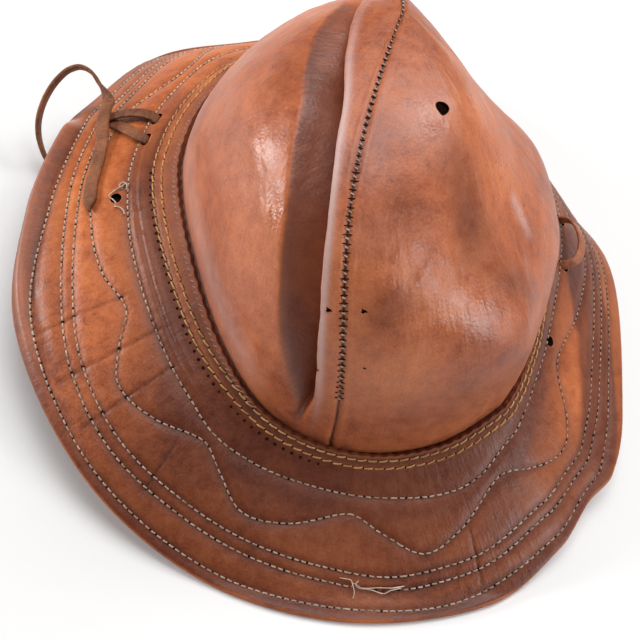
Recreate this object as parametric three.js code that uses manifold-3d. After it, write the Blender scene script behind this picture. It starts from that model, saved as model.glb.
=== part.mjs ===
// Soft leather hat: a two-panel crown with a centre seam, a wide stitched brim
// whose inner edge turns up round the crown, two strap keepers and a chin lace.
// Millimetres, +Z up, front towards -Y, resting surface at z = 0.
import * as THREE from 'three';
import { mergeVertices } from 'three/addons/utils/BufferGeometryUtils.js';
import Module from 'manifold-3d';

// Driving dimensions
const SIZE = 1.1;                // the tables are drawn for a small head; this enlarges them
const CROWN_WALL = 1.6;          // one layer of soft leather
const BRIM_THICKNESS = 2.6;      // two layers sewn together
const LIP_THICKNESS = 2.0;       // turned-up inner edge of the brim
const CLEARANCE = 0.35;          // air left between two pieces
const BAND_HEIGHT = 10;          // upright part of the crown wall, behind the lip
const FILLET = 5.5;              // how quickly the lip bends over into the brim
const LACE = { width: 5.5, thickness: 1.5 };
const KEEPER = { width: 5, thickness: 1.2 };
const SLOT = { length: 7.5, width: 3.4 };
const APEX = { x: -4.5, y: 16, z: 134.5 };
const SEAM = { front: -6.2, lean: -9.3, back: 178 }; // angles of the centre seam, which leans as it climbs the front
const VENT = { angle: 32.3, level: 0.632, diameter: 4.8 };
const CENTRE = { x: -7.85, y: -11 };                  // middle of the hat in the tables' frame
const EYELETS = { diameter: 4, left: [-87, 0.28], right: [68, 0.1] };

// Sections of the brim, one row for each angle round the hat: 0 is the front, 90 the
// wearer's left. bx, by, bz is the outer seam of the band, ex, ey, ez the outer edge,
// bow how far the leather swells above the straight line between them, lip how far the
// turned-up inner edge reaches in towards the crown.
const BRIM_COLUMNS = ['angle', 'bx', 'by', 'bz', 'ex', 'ey', 'ez', 'bow', 'lip'];
const BRIM_ROWS = [
  [-157.5, -28.0, 86.0, 27.0, -46.5, 110.0, -3.5, 4.0, 7.7],
  [-135.0, -53.0, 68.0, 32.0, -86.0, 92.0, 1.0, 4.0, 8.6],
  [-118.0, -67.0, 45.0, 36.5, -106.0, 54.0, 13.0, 2.0, 9.1],
  [-104.0, -75.0, 22.0, 40.0, -115.0, 29.0, 20.5, 1.0, 9.2],
  [-90.0, -77.5, -3.0, 42.0, -121.0, -8.0, 22.5, 2.0, 9.1],
  [-67.5, -69.5, -36.0, 40.0, -117.5, -56.0, 20.0, 2.0, 8.1],
  [-45.0, -53.5, -69.5, 32.5, -88.0, -105.0, 13.0, 2.0, 6.8],
  [-22.5, -30.5, -89.5, 24.7, -46.0, -133.0, 1.5, 1.5, 3.8],
  [0.0, 0.0, -98.0, 21.3, 2.0, -143.0, -3.5, 1.5, 3.9],
  [22.5, 30.0, -94.0, 24.0, 51.0, -134.0, -1.0, 1.5, 4.7],
  [42.0, 52.0, -80.0, 30.5, 77.0, -113.0, 7.0, 0.0, 4.4],
  [50.0, 57.5, -71.5, 32.5, 88.0, -96.0, 9.0, -1.0, 4.2],
  [56.0, 60.5, -63.0, 34.5, 97.0, -86.0, 10.5, -2.0, 3.8],
  [67.5, 65.0, -46.0, 38.0, 103.0, -62.0, 12.5, -2.0, 3.5],
  [90.0, 72.0, 0.0, 41.5, 107.0, 2.0, 10.5, 0.0, 3.8],
  [112.5, 67.0, 35.5, 38.0, 93.0, 39.5, 3.0, 0.5, 5.3],
  [135.0, 52.0, 67.0, 32.0, 69.5, 85.5, -0.5, 1.0, 5.8],
  [157.5, 28.0, 86.0, 27.0, 43.0, 115.0, -4.0, 3.0, 6.4],
  [180.0, 0.0, 93.0, 25.0, 0.0, 123.0, -4.5, 4.0, 7.1],
];

// Crown at each angle: power makes the top flat (small) or pointed (large), drop lowers
// the shoulder, sway leans it sideways.
const CROWN_COLUMNS = ['angle', 'power', 'drop', 'sway'];
const CROWN_ROWS = [
  [-180, 1.30, 1.55, 0],
  [-135, 1.38, 1.50, 0],
  [-90, 1.08, 1.20, -3],
  [-45, 0.65, 1.00, -8],
  [-7, 0.45, 1.00, -14],
  [40, 0.72, 1.05, -8],
  [68, 1.00, 1.20, -6],
  [90, 1.50, 1.55, -3],
  [135, 1.50, 1.85, 0],
];

// Folds pressed into the crown: a row for each point along a fold.
const GUTTER_COLUMNS = ['x', 'y', 'z', 'radius', 'depth'];
const GUTTER_ROWS = [
  [-20, 16, 121, 7, 5],
  [-24, -8, 121, 9, 14],
  [-28, -40, 116, 10, 18],
  [-32, -66, 103, 10, 17],
  [-29, -84, 77, 8, 11],
  [-23, -91, 52, 6, 6],
  [-19, -92, 38, 4, 2],
];
const DENT_COLUMNS = ['x', 'y', 'z', 'radius', 'depth'];
const DENT_ROWS = [
  [24, -44, 95, 26, 7],
  [34, -66, 70, 18, -5],
  [64, -26, 66, 24, -5],
  [-52, -20, 100, 26, -3],
  [42, 46, 88, 34, 9],
];

// Straps on the brim: angle, place across the brim (0 band, 1 edge), height above the
// middle of the leather.
const LEFT_SLOTS = [[-108, 0.14], [-101.5, 0.14]];
const RIGHT_SLOTS = [[93, 0.13], [83, 0.15]];
const LEFT_KEEPER_ROWS = [
  [-108, 0.14, -5], [-108, 0.14, 0.5], [-108, 0.19, 3], [-107.8, 0.32, 4.6], [-107.4, 0.46, 4.4],
  [-107, 0.54, 4], [-106.8, 0.6, 3.95], [-106.7, 0.63, 3.05], [-106.6, 0.6, 2.15], [-106.2, 0.54, 2.15],
  [-104.6, 0.4, 2.4], [-101.8, 0.2, 2.5], [-101.5, 0.14, 0.5], [-101.5, 0.14, -5],
];
const RIGHT_KEEPER_ROWS = [
  [93, 0.13, -5], [93, 0.13, 1], [92.2, 0.135, 4.6], [89.7, 0.15, 7.6], [86.2, 0.17, 8.6],
  [83.8, 0.17, 6.2], [83, 0.15, 1], [83, 0.15, -5],
];
// Chin lace under the brim: angle, place across the brim, height above the resting surface.
const LACE_UNDER_ROWS = [
  [88, 0.3, 28], [88.5, 0.31, 23], [91, 0.34, 15], [96, 0.4, 7.5], [103, 0.46, 2.5], [112, 0.5, 1.2],
  [122, 0.5, 1.2], [133, 0.5, 1.2], [145, 0.5, 1.2], [157, 0.5, 1.2], [169, 0.5, 1.2], [180, 0.5, 1.2],
  [-169, 0.5, 1.2], [-157, 0.5, 1.2], [-146, 0.5, 1.3], [-135, 0.52, 2.4],
];
// Chin lace in the open at the left, x, y, z.
const LACE_BOW_ROWS = [
  [-101, 56, 3.6], [-106.5, 42, 3.7], [-112.5, 31.5, 3.7], [-120, 26, 3.9], [-127.5, 26.5, 5],
  [-132.7, 31, 7.6], [-135.9, 35.6, 11.6], [-137.4, 40, 16.2], [-137.2, 44.3, 21.1], [-135.2, 50, 26.2],
  [-131.6, 55.2, 30.9], [-127, 59.4, 34.2], [-122, 60.8, 35.8], [-117, 58.9, 35.6], [-113, 54.5, 33.6],
];
// Free end of the lace on the brim: angle, place across the brim, height.
const LACE_TAIL_ROWS = [
  [-112, 0.645, 5.4], [-109.5, 0.61, 5.75], [-107, 0.58, 5.8], [-104, 0.545, 5.5], [-100.5, 0.505, 3.6],
  [-96, 0.475, 2.6], [-91, 0.475, 2.5], [-85, 0.47, 2.5],
];

const RAD = Math.PI / 180;
const PLAIN = ['angle', 'power', 'drop'];
const table = (columns, rows) => rows.map((row) => Object.fromEntries(
  columns.map((c, i) => [c, PLAIN.includes(c) ? row[i] : SIZE * row[i]]),
));
const BRIM = table(BRIM_COLUMNS, BRIM_ROWS);
const CROWN = table(CROWN_COLUMNS, CROWN_ROWS);
const GUTTER = table(GUTTER_COLUMNS, GUTTER_ROWS);
const DENTS = table(DENT_COLUMNS, DENT_ROWS);

// Smooth closed interpolation of every column of a table over its angle column.
function around(rows, angle) {
  const n = rows.length;
  const first = rows[0].angle;
  const a = first + ((((angle - first) % 360) + 360) % 360);
  let i = 0;
  while (i < n - 1 && rows[i + 1].angle <= a) i += 1;
  const at = (k) => ({ row: rows[(k + n) % n], angle: rows[(k + n) % n].angle + 360 * Math.floor(k / n) });
  const p = [at(i - 1), at(i), at(i + 1), at(i + 2)];
  const span = p[2].angle - p[1].angle;
  const u = (a - p[1].angle) / span;
  const out = {};
  for (const key of Object.keys(rows[0])) {
    if (key === 'angle') continue;
    const v = p.map((e) => e.row[key]);
    const m1 = ((v[2] - v[0]) / (p[2].angle - p[0].angle)) * span;
    const m2 = ((v[3] - v[1]) / (p[3].angle - p[1].angle)) * span;
    out[key] = (2 * u ** 3 - 3 * u ** 2 + 1) * v[1] + (u ** 3 - 2 * u ** 2 + u) * m1
      + (-2 * u ** 3 + 3 * u ** 2) * v[2] + (u ** 3 - u ** 2) * m2;
  }
  return out;
}

// Height of the turned-up lip, greatest at the left and the back.
const lipHeight = (angle) => 6.7 - 1.5 * Math.cos(angle * RAD) - 1.0 * Math.sin(angle * RAD);

// Outward direction of the band seam, seen from above.
function bandNormal(angle) {
  const a = around(BRIM, angle - 2);
  const b = around(BRIM, angle + 2);
  const length = Math.hypot(b.bx - a.bx, b.by - a.by);
  return { x: -(a.by - b.by) / length, y: (a.bx - b.bx) / length };
}

// Middle of the brim leather. q is 0 at the band seam, 1 at the outer edge and
// negative up the lip, reaching -1 at its top.
function brimMiddle(angle, q) {
  const s = around(BRIM, angle);
  const reach = Math.hypot(s.ex - s.bx, s.ey - s.by);
  const ox = (s.ex - s.bx) / reach;
  const oy = (s.ey - s.by) / reach;
  const r = q < 0 ? q * s.lip : q * reach;
  const side = q < 0 ? bandNormal(angle) : { x: ox, y: oy };
  const k = r / reach;
  const slope = (s.ez - s.bz) / reach;
  const bend = Math.exp(-s.lip / FILLET);
  const rise = (lipHeight(angle) + slope * s.lip) / (1 - bend);
  const z = s.bz + slope * r + (q > 0 ? s.bow * 4 * k * (1 - k) : 0)
    + rise * (Math.exp(-(r + s.lip) / FILLET) - bend) * (q > 0 ? 1 - k : 1);
  const rest = BRIM_THICKNESS / 2 - 0.2;
  const over = z - rest;
  const lifted = rest + 0.5 * (over + Math.sqrt(over * over + 0.6));
  return new THREE.Vector3(s.bx + side.x * r, s.by + side.y * r, over > 12 ? z : lifted);
}

function brimNormal(angle, q) {
  const da = brimMiddle(angle + 0.5, q).sub(brimMiddle(angle - 0.5, q));
  const dq = brimMiddle(angle, q + 0.01).sub(brimMiddle(angle, q - 0.01));
  return dq.cross(da).normalize();
}

const brimHalf = (q) => (q < 0 ? THREE.MathUtils.lerp(BRIM_THICKNESS, LIP_THICKNESS, -q) : BRIM_THICKNESS) / 2;

// A point on or off the brim, height measured from the middle of the leather.
function brimPoint(angle, q, height) {
  return brimMiddle(angle, q).addScaledVector(brimNormal(angle, q), height);
}

// Foot of the crown, just inside the lip.
function crownFoot(angle) {
  const s = around(BRIM, angle);
  const out = bandNormal(angle);
  const inset = s.lip + LIP_THICKNESS / 2 + CLEARANCE;
  return new THREE.Vector3(s.bx - out.x * inset, s.by - out.y * inset, s.bz - 1.5);
}

// Smooth crown before folding. s runs from 0 at the foot to 1 at the apex; the wall
// stands upright for the height of the band.
const BAND_SHARE = 0.1;

function crownDome(angle, s) {
  const foot = crownFoot(angle);
  if (s < BAND_SHARE) return foot.add(new THREE.Vector3(0, 0, (BAND_HEIGHT * s) / BAND_SHARE));
  const shape = around(CROWN, angle);
  const phi = (Math.PI / 2) * (1 - (1 - (s - BAND_SHARE) / (1 - BAND_SHARE)) ** 2.2);
  const rho = Math.max(Math.cos(phi), 0) ** shape.power;
  const zeta = Math.sin(phi) ** shape.drop;
  const base = foot.z + BAND_HEIGHT;
  return new THREE.Vector3(
    APEX.x + (foot.x - APEX.x) * rho + shape.sway * zeta * zeta * rho,
    APEX.y + (foot.y - APEX.y) * rho,
    base + (APEX.z - base) * zeta,
  );
}

// Depth of all folds at a point of the dome.
function foldDepth(p) {
  let depth = 0;
  for (const d of DENTS) {
    const r2 = (p.x - d.x) ** 2 + (p.y - d.y) ** 2 + (p.z - d.z) ** 2;
    depth += d.depth * Math.exp(-r2 / (d.radius * d.radius));
  }
  let best = Infinity;
  let groove = 0;
  for (let i = 0; i < GUTTER.length - 1; i += 1) {
    const a = GUTTER[i];
    const b = GUTTER[i + 1];
    const ab = new THREE.Vector3(b.x - a.x, b.y - a.y, b.z - a.z);
    const ap = new THREE.Vector3(p.x - a.x, p.y - a.y, p.z - a.z);
    const u = THREE.MathUtils.clamp(ap.dot(ab) / ab.lengthSq(), 0, 1);
    const gap = ap.addScaledVector(ab, -u).length();
    const radius = THREE.MathUtils.lerp(a.radius, b.radius, u);
    if (gap / radius < best) {
      best = gap / radius;
      groove = THREE.MathUtils.lerp(a.depth, b.depth, u) * Math.exp(-best * best);
    }
  }
  return depth + groove;
}

// Outward direction of a crown surface, turned upright near the apex.
function frameNormal(surface, angle, s) {
  const da = surface(angle + 0.6, s).sub(surface(angle - 0.6, s));
  const ds = surface(angle, Math.min(s + 0.012, 1)).sub(surface(angle, Math.max(s - 0.012, 0)));
  const upright = THREE.MathUtils.smoothstep(s, 0.78, 0.92);
  return da.cross(ds).normalize().lerp(new THREE.Vector3(0, 0, 1), upright).normalize();
}

// Folds die out above the band, where the crown is sewn to shape.
function crownOuter(angle, s) {
  const p = crownDome(angle, s);
  const free = THREE.MathUtils.smoothstep(p.z - crownFoot(angle).z, BAND_HEIGHT, BAND_HEIGHT + 15);
  return p.addScaledVector(frameNormal(crownDome, angle, s), -free * foldDepth(p));
}

function crownInner(angle, s) {
  return crownOuter(angle, s).addScaledVector(frameNormal(crownOuter, angle, s), -CROWN_WALL);
}

// Closed skin from a grid of points. Rows follow the piece, columns go round its section.
// End caps are fans for a convex section, or strips for a thin wall.
function skin(rows, { closeRows = false, caps = 'none' } = {}) {
  const n = rows.length;
  const m = rows[0].length;
  const position = rows.flat().flatMap((p) => [p.x, p.y, p.z]);
  const index = [];
  for (let i = 0; i < (closeRows ? n : n - 1); i += 1) {
    for (let j = 0; j < m; j += 1) {
      const a = i * m + j;
      const b = i * m + ((j + 1) % m);
      const c = ((i + 1) % n) * m + ((j + 1) % m);
      const d = ((i + 1) % n) * m + j;
      index.push(a, b, c, a, c, d);
    }
  }
  const end = (n - 1) * m;
  if (caps === 'fan') {
    for (let j = 1; j < m - 1; j += 1) {
      index.push(0, j + 1, j, end, end + j, end + j + 1);
    }
  }
  if (caps === 'strip') {
    for (let j = 0; j < m / 2 - 1; j += 1) {
      const k = m - 1 - j;
      index.push(j + 1, j, k, j + 1, k, k - 1);
      index.push(end + j, end + j + 1, end + k - 1, end + j, end + k - 1, end + k);
    }
  }
  const geometry = new THREE.BufferGeometry();
  geometry.setAttribute('position', new THREE.Float32BufferAttribute(position, 3));
  geometry.setIndex(index);
  return clean(geometry);
}

// Merges shared corners, drops collapsed triangles and turns the faces outwards.
function clean(geometry) {
  const merged = mergeVertices(geometry, 1e-3);
  const ids = merged.getIndex().array;
  const p = merged.getAttribute('position');
  const corner = (k) => new THREE.Vector3().fromBufferAttribute(p, k);
  const keep = [];
  let volume = 0;
  for (let i = 0; i < ids.length; i += 3) {
    const [a, b, c] = [ids[i], ids[i + 1], ids[i + 2]];
    if (a === b || b === c || a === c) continue;
    keep.push(a, b, c);
    volume += corner(a).dot(corner(b).cross(corner(c)));
  }
  if (volume < 0) keep.reverse();
  merged.setIndex(keep);
  merged.computeVertexNormals();
  return merged;
}

// Boolean cuts
const wasm = await Module();
wasm.setup();

function solid(geometry) {
  const bare = geometry.clone();
  bare.deleteAttribute('normal');
  bare.deleteAttribute('uv');
  const merged = mergeVertices(bare, 1e-3);
  return new wasm.Manifold(new wasm.Mesh({
    numProp: 3,
    vertProperties: new Float32Array(merged.getAttribute('position').array),
    triVerts: new Uint32Array(merged.getIndex().array),
  }));
}

function cut(geometry, tools) {
  let body = solid(geometry);
  for (const tool of tools) body = body.subtract(solid(tool));
  const mesh = body.getMesh();
  const out = new THREE.BufferGeometry();
  out.setAttribute('position', new THREE.Float32BufferAttribute(Array.from(mesh.vertProperties), 3));
  out.setIndex(Array.from(mesh.triVerts));
  out.computeVertexNormals();
  return out;
}

// A punch standing on a surface: its axis follows the normal, its length the given direction.
function placed(geometry, origin, normal, along) {
  const z = normal.clone().normalize();
  const x = along.clone().addScaledVector(z, -along.dot(z)).normalize();
  const y = z.clone().cross(x);
  const basis = new THREE.Matrix4().makeBasis(x, y, z).setPosition(origin);
  return geometry.applyMatrix4(basis);
}

const roundPunch = (diameter) => new THREE.CylinderGeometry(diameter / 2, diameter / 2, 14, 14).rotateX(Math.PI / 2);

// Crown panels
const CROWN_LEVELS = 18;
const CROWN_STEPS = 33;

function crownPanel(from, to, shift, denseEnd) {
  const loops = [];
  for (let i = 0; i <= CROWN_STEPS; i += 1) {
    const k = i / CROWN_STEPS;
    const share = denseEnd ? 1 - (1 - k) ** 1.35 : k ** 1.35;
    const outside = [];
    const inside = [];
    for (let j = 0; j <= CROWN_LEVELS; j += 1) {
      const level = j / CROWN_LEVELS;
      const angle = THREE.MathUtils.lerp(from(level), to(level), share);
      outside.push(crownOuter(angle, level));
      inside.push(crownInner(angle, level));
    }
    loops.push(outside.concat(inside.reverse()).map((p) => p.add(new THREE.Vector3(shift, 0, 0))));
  }
  return skin(loops, { caps: 'strip' });
}

const frontSeam = (level) => SEAM.front + SEAM.lean * level;
const crownRightSolid = crownPanel(frontSeam, () => SEAM.back, CLEARANCE / 2, false);
const crownLeftSolid = crownPanel(() => SEAM.back - 360, frontSeam, -CLEARANCE / 2, true);

const ventAt = crownOuter(VENT.angle, VENT.level);
const vent = placed(roundPunch(VENT.diameter), ventAt, frameNormal(crownOuter, VENT.angle, VENT.level), new THREE.Vector3(1, 0, 0));
const crownRightCut = cut(crownRightSolid, [vent]);

// Brim with its turned-up lip
const BRIM_STEPS = 80;
const BRIM_STATIONS = [-1, -0.55, -0.1, 0.1, 0.22, 0.36, 0.52, 0.68, 0.82, 0.93, 1];

function brimSection(angle) {
  const top = [];
  const under = [];
  for (const q of BRIM_STATIONS) {
    const half = brimHalf(q);
    top.push(brimPoint(angle, q, half));
    under.push(brimPoint(angle, q, -half));
  }
  const edge = brimMiddle(angle, 1);
  const normal = brimNormal(angle, 1);
  const out = edge.clone().sub(brimMiddle(angle, 0.98)).normalize();
  const half = BRIM_THICKNESS / 2;
  const round = [45, 0, -45].map((a) => edge.clone()
    .addScaledVector(out, half * Math.cos(a * RAD))
    .addScaledVector(normal, half * Math.sin(a * RAD)));
  const loop = [...top, ...round, ...under.reverse()];
  for (const p of loop) p.z = Math.max(p.z, 0);
  return loop;
}

const brimRows = [];
for (let i = 0; i < BRIM_STEPS; i += 1) brimRows.push(brimSection(-180 + (360 * i) / BRIM_STEPS));
const brimSolid = skin(brimRows, { closeRows: true });

// Directions on the brim: outwards across it, and along it round the hat.
const across = (angle, q) => brimMiddle(angle, q + 0.02).sub(brimMiddle(angle, q - 0.02)).normalize();
const along = (angle, q) => brimMiddle(angle + 1, q).sub(brimMiddle(angle - 1, q)).normalize();

function brimPunch(geometry, [angle, q], direction) {
  return placed(geometry, brimMiddle(angle, q), brimNormal(angle, q), direction(angle, q));
}

const slotPunch = () => new THREE.BoxGeometry(SLOT.length, SLOT.width, 14);
const brimCut = cut(brimSolid, [
  brimPunch(roundPunch(EYELETS.diameter), EYELETS.left, along),
  brimPunch(roundPunch(EYELETS.diameter), EYELETS.right, along),
  ...LEFT_SLOTS.map((at) => brimPunch(slotPunch(), at, along)),
  ...RIGHT_SLOTS.map((at) => brimPunch(slotPunch(), at, across)),
]);

// A flat strip with softened corners along a smooth path. Every stop has a place and the
// direction in which the strip is wide; a pointed strip tapers over its last stretch.
function strip(stops, { width, thickness }, steps, pointed = false) {
  const path = new THREE.CatmullRomCurve3(stops.map((stop) => stop.at), false, 'centripetal');
  const rows = [];
  for (let i = 0; i <= steps; i += 1) {
    const u = i / steps;
    const k = Math.min(Math.floor(u * (stops.length - 1)), stops.length - 2);
    const blend = u * (stops.length - 1) - k;
    const centre = path.getPoint(u);
    const forward = path.getTangent(u);
    const side = stops[k].wide.clone().lerp(stops[k + 1].wide, blend);
    side.addScaledVector(forward, -side.dot(forward)).normalize();
    const up = forward.clone().cross(side);
    const tip = pointed ? THREE.MathUtils.clamp((1 - u) / 0.03, 0.08, 1) : 1;
    const a = (width / 2) * tip;
    const b = thickness / 2;
    const c = 0.3 * Math.min(a, b);
    const corners = [[a, b - c], [a - c, b], [c - a, b], [-a, b - c], [-a, c - b], [c - a, -b], [a - c, -b], [a, c - b]];
    rows.push(corners.map(([x, y]) => centre.clone().addScaledVector(side, x).addScaledVector(up, y)));
  }
  return skin(rows, { caps: 'fan' });
}

const onBrim = ([angle, q, height], direction) => ({ at: brimPoint(angle, q, height), wide: direction(angle, q) });

const keeperLeft = strip(LEFT_KEEPER_ROWS.map((row) => onBrim(row, along)), KEEPER, 44);
const keeperRight = strip(RIGHT_KEEPER_ROWS.map((row) => onBrim(row, across)), KEEPER, 30);

// Chin lace: from under the right side down to the resting surface, round the back below
// the brim, out at the left, up in a standing bow and down over the left keeper.
const belowBrim = ([angle, q, z]) => ({ at: brimMiddle(angle, q).setZ(z), wide: across(angle, q).setZ(0).normalize() });
const bowWide = new THREE.Vector3(-0.13, -0.51, 0.85);
const laceStops = [
  ...LACE_UNDER_ROWS.map(belowBrim),
  ...LACE_BOW_ROWS.map(([x, y, z]) => ({ at: new THREE.Vector3(x, y, z), wide: bowWide })),
  ...LACE_TAIL_ROWS.map((row) => onBrim(row, (angle, q) => across(angle, q).negate())),
];
const chinLace = strip(laceStops, LACE, 78, true);

function mesh(name, geometry, color, roughness) {
  const out = new THREE.Mesh(geometry, new THREE.MeshStandardMaterial({ color, roughness, metalness: 0 }));
  out.name = name;
  return out;
}

const hat = new THREE.Group();
hat.add(mesh('crown_right', crownRightCut, 0xb9714e, 0.5));
hat.add(mesh('crown_left', crownLeftSolid, 0xb9714e, 0.5));
hat.add(mesh('brim', brimCut, 0xb5673f, 0.45));
hat.add(mesh('lace_keeper_left', keeperLeft, 0x7a5232, 0.7));
hat.add(mesh('lace_keeper_right', keeperRight, 0xa5623c, 0.6));
hat.add(mesh('chin_lace', chinLace, 0x7a5232, 0.7));

hat.position.set(-CENTRE.x, -CENTRE.y, 0);

export default hat;
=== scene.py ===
import math

import bpy
import numpy as np
from mathutils import Matrix, Vector, noise


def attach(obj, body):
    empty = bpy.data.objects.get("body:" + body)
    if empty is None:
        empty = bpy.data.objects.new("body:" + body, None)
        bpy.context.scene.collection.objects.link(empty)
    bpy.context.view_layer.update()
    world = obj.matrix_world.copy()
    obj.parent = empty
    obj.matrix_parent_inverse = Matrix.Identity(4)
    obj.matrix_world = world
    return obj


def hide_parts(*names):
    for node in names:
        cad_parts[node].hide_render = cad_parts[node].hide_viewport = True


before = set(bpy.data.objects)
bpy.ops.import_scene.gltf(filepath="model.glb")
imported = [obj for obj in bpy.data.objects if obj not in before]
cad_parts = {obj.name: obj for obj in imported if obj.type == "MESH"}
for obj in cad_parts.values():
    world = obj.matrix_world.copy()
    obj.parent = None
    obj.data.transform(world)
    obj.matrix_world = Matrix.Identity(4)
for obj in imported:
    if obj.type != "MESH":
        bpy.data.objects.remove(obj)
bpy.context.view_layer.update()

# Brim
# A wide ring of soft tan leather, two layers sewn together and stretched until it droops at
# the front and the back. Its inner edge turns up round the crown and ends in a pinked edge.
MM = 0.001
HAT_PLACE = np.array((7.85, 11.0, 0.0))   # the tables' origin in the hat's frame
SIZE = 1.1                                # the tables are drawn for a small head
BRIM_THICKNESS = 2.6
LIP_THICKNESS = 2.0
LIP_BEND = 5.5                            # how soon the brim turns up into its lip
LIP_MEAN, LIP_FRONT, LIP_RIGHT = 6.7, -1.5, -1.0   # its height, and the changes round the hat
REST_DIP, REST_FREE, REST_SOFTNESS = 0.2, 12.0, 0.6   # how the leather settles on the surface
BRIM_SECTIONS = np.array((
    # angle, band x, y, z, edge x, y, z, bow, lip
    (-157.5, -28.0, 86.0, 27.0, -46.5, 110.0, -3.5, 4.0, 7.7),
    (-135.0, -53.0, 68.0, 32.0, -86.0, 92.0, 1.0, 4.0, 8.6),
    (-118.0, -67.0, 45.0, 36.5, -106.0, 54.0, 13.0, 2.0, 9.1),
    (-104.0, -75.0, 22.0, 40.0, -115.0, 29.0, 20.5, 1.0, 9.2),
    (-90.0, -77.5, -3.0, 42.0, -121.0, -8.0, 22.5, 2.0, 9.1),
    (-67.5, -69.5, -36.0, 40.0, -117.5, -56.0, 20.0, 2.0, 8.1),
    (-45.0, -53.5, -69.5, 32.5, -88.0, -105.0, 13.0, 2.0, 6.8),
    (-22.5, -30.5, -89.5, 24.7, -46.0, -133.0, 1.5, 1.5, 3.8),
    (0.0, 0.0, -98.0, 21.3, 2.0, -143.0, -3.5, 1.5, 3.9),
    (22.5, 30.0, -94.0, 24.0, 51.0, -134.0, -1.0, 1.5, 4.7),
    (42.0, 52.0, -80.0, 30.5, 77.0, -113.0, 7.0, 0.0, 4.4),
    (50.0, 57.5, -71.5, 32.5, 88.0, -96.0, 9.0, -1.0, 4.2),
    (56.0, 60.5, -63.0, 34.5, 97.0, -86.0, 10.5, -2.0, 3.8),
    (67.5, 65.0, -46.0, 38.0, 103.0, -62.0, 12.5, -2.0, 3.5),
    (90.0, 72.0, 0.0, 41.5, 107.0, 2.0, 10.5, 0.0, 3.8),
    (112.5, 67.0, 35.5, 38.0, 93.0, 39.5, 3.0, 0.5, 5.3),
    (135.0, 52.0, 67.0, 32.0, 69.5, 85.5, -0.5, 1.0, 5.8),
    (157.5, 28.0, 86.0, 27.0, 43.0, 115.0, -4.0, 3.0, 6.4),
    (180.0, 0.0, 93.0, 25.0, 0.0, 123.0, -4.5, 4.0, 7.1),
)) * np.array([1.0] + [SIZE] * 8)


def around(rows, angle):
    """Smooth closed interpolation of a table over its first column, the angle."""
    count = len(rows)
    first = rows[0, 0]
    a = first + np.mod(np.asarray(angle, float) - first, 360.0)
    i = np.searchsorted(rows[:, 0], a, side="right") - 1

    def at(k):
        return rows[np.mod(k, count), 1:], rows[np.mod(k, count), 0] + 360.0 * np.floor_divide(k, count)

    (v0, t0), (v1, t1), (v2, t2), (v3, t3) = (at(i + k) for k in (-1, 0, 1, 2))
    span = (t2 - t1)[..., None]
    u = (a - t1)[..., None] / span
    m1 = (v2 - v0) / (t2 - t0)[..., None] * span
    m2 = (v3 - v1) / (t3 - t1)[..., None] * span
    return ((2 * u**3 - 3 * u**2 + 1) * v1 + (u**3 - 2 * u**2 + u) * m1
            + (3 * u**2 - 2 * u**3) * v2 + (u**3 - u**2) * m2)


def unit(v):
    return v / np.maximum(np.linalg.norm(v, axis=-1, keepdims=True), 1e-12)


def smooth(low, high, value):
    t = np.clip((value - low) / (high - low), 0.0, 1.0)
    return t * t * (3 - 2 * t)


def bell(distance, width):
    return np.exp(-((distance / width) ** 2))


def between(start, full, fade, end, value):
    """1 from full to fade, falling smoothly to 0 at start and at end."""
    return smooth(start, full, value) * (1 - smooth(fade, end, value))


def band_outward(angle):
    d = around(BRIM_SECTIONS, angle + 2.0)[..., :2] - around(BRIM_SECTIONS, angle - 2.0)[..., :2]
    return unit(np.stack((d[..., 1], -d[..., 0]), -1))


def brim_reach(angle):
    s = around(BRIM_SECTIONS, angle)
    return np.linalg.norm(s[..., 3:5] - s[..., 0:2], axis=-1)


def brim_middle(angle, q):
    """Middle of the leather; q is 0 at the band seam, 1 at the outer edge, -1 at the lip's top."""
    angle, q = np.broadcast_arrays(np.asarray(angle, float), np.asarray(q, float))
    s = around(BRIM_SECTIONS, angle)
    lip = s[..., 7]
    reach = brim_reach(angle)
    outward = (s[..., 3:5] - s[..., 0:2]) / reach[..., None]
    r = np.where(q < 0, q * lip, q * reach)
    side = np.where((q < 0)[..., None], band_outward(angle), outward)
    k = r / reach
    slope = (s[..., 5] - s[..., 2]) / reach
    bend = np.exp(-lip / LIP_BEND)
    turn = np.radians(angle)
    lip_height = LIP_MEAN + LIP_FRONT * np.cos(turn) + LIP_RIGHT * np.sin(turn)
    rise = (lip_height + slope * lip) / (1 - bend)
    z = (s[..., 2] + slope * r + np.where(q > 0, s[..., 6] * 4 * k * (1 - k), 0)
         + rise * (np.exp(-(r + lip) / LIP_BEND) - bend) * np.where(q > 0, 1 - k, 1))
    rest = BRIM_THICKNESS / 2 - REST_DIP
    over = z - rest
    z = np.where(over > REST_FREE, z, rest + 0.5 * (over + np.sqrt(over * over + REST_SOFTNESS)))
    return np.concatenate((s[..., 0:2] + side * r[..., None], z[..., None]), -1)


def brim_normal(angle, q):
    da = brim_middle(angle + 0.5, q) - brim_middle(angle - 0.5, q)
    dq = brim_middle(angle, q + 0.01) - brim_middle(angle, q - 0.01)
    return unit(np.cross(dq, da))


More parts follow.
